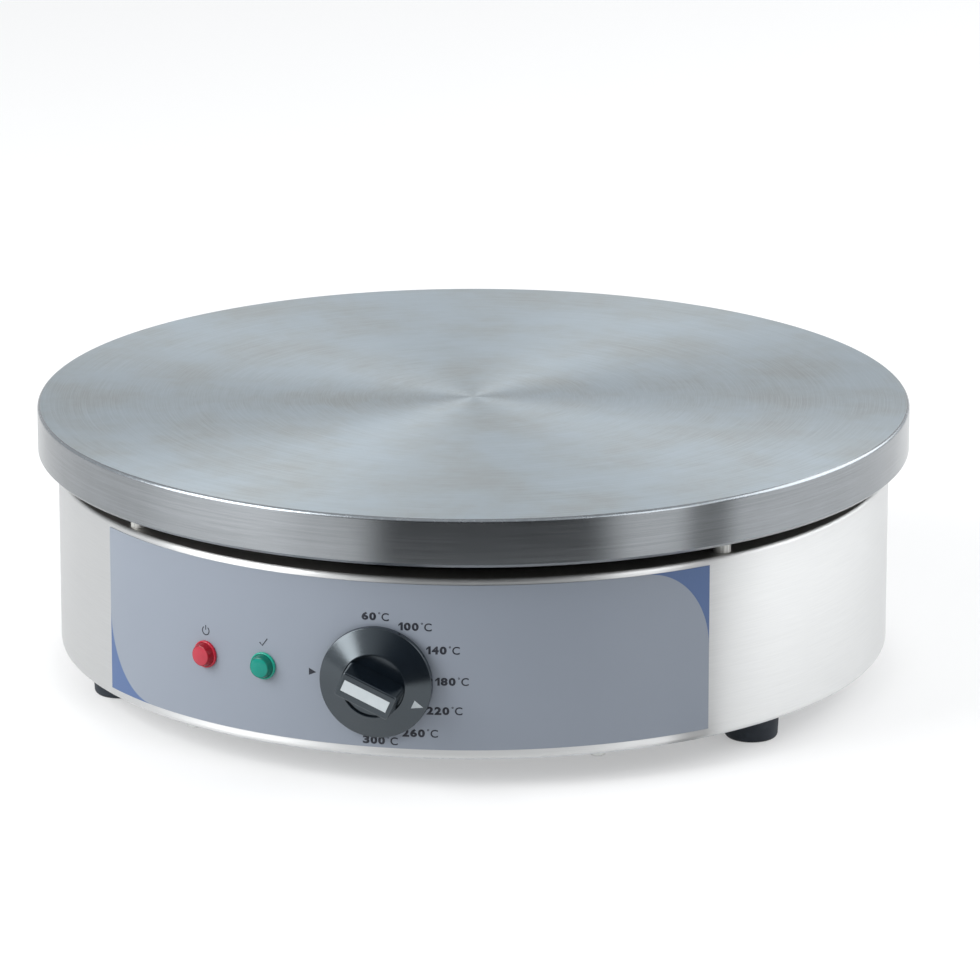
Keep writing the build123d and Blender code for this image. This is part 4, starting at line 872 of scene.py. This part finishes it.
FLOOR_HALF = 12.0
FLOOR_GLOW = 0.35
PAPER = paint(203, 203, 203)
WHITE = paint(255, 255, 255)
CARD_GREY = paint(60, 62, 64)
SIDE_CARD_SHADE = 0.68
LEFT_CARD_SHADE = 0.12
ROOM_FRONT = paint(50, 52, 55)
ROOM_REAR = paint(222, 224, 226)
ROOM_GAP = paint(90, 92, 94)
LIGHT_TARGET = Vector((0, 0, 0.07))
# Cards and walls are sectors: the azimuth of the middle in degrees, from the camera's towards the
# right, and how far to each side of it the sector is full and where it ends.
FRONT_CARD = (4, 21, 31)
SIDE_CARD_FACES = 31.5
SIDE_CARD = (2 * SIDE_CARD_FACES, 2, 9)
LEFT_CARD = (-100, 20, 55)
ROOM_FRONT_SECTOR = (0, 23, 45.6)
ROOM_GAP_SECTOR = (64, 4, 10)
# The front card starts at the first of these distances and is full from the second.
FRONT_CARD_STARTS = (0.37, 0.44)

floor_finish = bpy.data.materials.new("studio_floor")
floor_finish.use_nodes = True
floor_finish.node_tree.nodes.clear()
paper = Shades(floor_finish.node_tree)
rays = paper.node("ShaderNodeLightPath", {}, {}, "Is Camera Ray")
watched = rays + rays.twin("Is Glossy Ray") + rays.twin("Is Transmission Ray")
matt = paper.node("ShaderNodeBsdfDiffuse", {}, {"Color": PAPER})
glow = paper.node("ShaderNodeEmission", {}, {"Strength": watched * FLOOR_GLOW})
lit = paper.node("ShaderNodeAddShader", {}, {0: matt, 1: glow})


def way(azimuth):
    """A level direction, at an azimuth in degrees from the camera's towards the right."""
    turn = CAMERA_AZIMUTH + math.radians(azimuth)
    return (math.sin(turn), -math.cos(turn), 0)


def sector(shades, heading, middle, inner, outer):
    """1 where a heading is within the inner angle of the middle one, 0 past the outer angle."""
    ahead = shades.vectors("DOT_PRODUCT", {0: heading, 1: way(middle)}, "Value")
    return shades.ramp(ahead, math.cos(math.radians(outer)), math.cos(math.radians(inner)))


# The side card is a wedge whose mirror image in the drum is an upright band: its point lies inside
# the drum, behind the place that it faces.
faced, seen_along = Vector(way(SIDE_CARD_FACES)), Vector(way(2 * SIDE_CARD_FACES))
wedge_point = HOUSING_R * (faced - seen_along * math.cos(math.radians(SIDE_CARD_FACES)) / 2)

spot = paper.place()
heading = paper.vectors("NORMALIZE", {0: spot})
from_point = paper.vectors("SUBTRACT", {0: spot, 1: wedge_point})
from_point = paper.vectors("NORMALIZE", {0: from_point})
reach = paper.vectors("LENGTH", {0: spot}, "Value")
cards = sector(paper, heading, *FRONT_CARD) * paper.ramp(reach, *FRONT_CARD_STARTS)
cards = cards + sector(paper, from_point, *SIDE_CARD) * SIDE_CARD_SHADE
cards = (cards + sector(paper, heading, *LEFT_CARD) * LEFT_CARD_SHADE) * rays.twin("Is Glossy Ray")
dim = paper.node("ShaderNodeEmission", {}, {"Color": CARD_GREY})
seen_floor = paper.node("ShaderNodeMixShader", {}, {0: cards, 1: lit, 2: dim})
surface = paper.tree.nodes.new("ShaderNodeOutputMaterial")
paper.tree.links.new(seen_floor.socket, surface.inputs["Surface"])

mesh = bmesh.new()
bmesh.ops.create_grid(mesh, x_segments=1, y_segments=1, size=FLOOR_HALF)
ground = bpy.data.meshes.new("floor")
mesh.to_mesh(ground)
mesh.free()
ground.materials.append(floor_finish)
floor = bpy.data.objects.new("floor", ground)
scene.collection.objects.link(floor)

world = bpy.data.worlds.new("studio")
world.use_nodes = True
scene.world = world
room = Shades(world.node_tree)
sight = room.node("ShaderNodeTexCoord", {}, {}, "Generated")
wall = room.blend(sector(room, sight, *ROOM_FRONT_SECTOR), ROOM_REAR, ROOM_FRONT)
level = room.vectors("MULTIPLY", {0: sight, 1: (1, 1, 0)})
level = room.vectors("NORMALIZE", {0: level})
wall = room.blend(sector(room, level, *ROOM_GAP_SECTOR), wall, ROOM_GAP)
seen = room.node("ShaderNodeLightPath", {}, {}, "Is Camera Ray")
wall = room.blend(seen, wall, WHITE)
room.tree.links.new(wall.socket, room.tree.nodes["Background"].inputs["Color"])


def softbox(name, azimuth, elevation, distance, width, tall, watts):
    """A soft rectangular lamp, aimed at the machine; azimuth runs from the camera to the right."""
    lamp = bpy.data.lights.new(name, "AREA")
    lamp.shape = "RECTANGLE"
    lamp.size = width
    lamp.size_y = tall
    lamp.energy = watts
    box = bpy.data.objects.new(name, lamp)
    rise = math.radians(elevation)
    x, y, _ = way(azimuth)
    aim = Vector((math.cos(rise) * x, math.cos(rise) * y, math.sin(rise)))
    box.location = LIGHT_TARGET + aim * distance
    box.rotation_euler = aim.to_track_quat("Z", "Y").to_euler()
    box.visible_camera = False
    scene.collection.objects.link(box)


softbox(
    "left_softbox", azimuth=-66.5, elevation=29, distance=1.8, width=1.2, tall=1.15, watts=28)
softbox(
    "right_softbox", azimuth=50, elevation=30, distance=1.8, width=0.65, tall=1.1, watts=5.5)
softbox(
    "far_right_softbox", azimuth=108, elevation=30, distance=2.0, width=2.1, tall=1.3, watts=23)
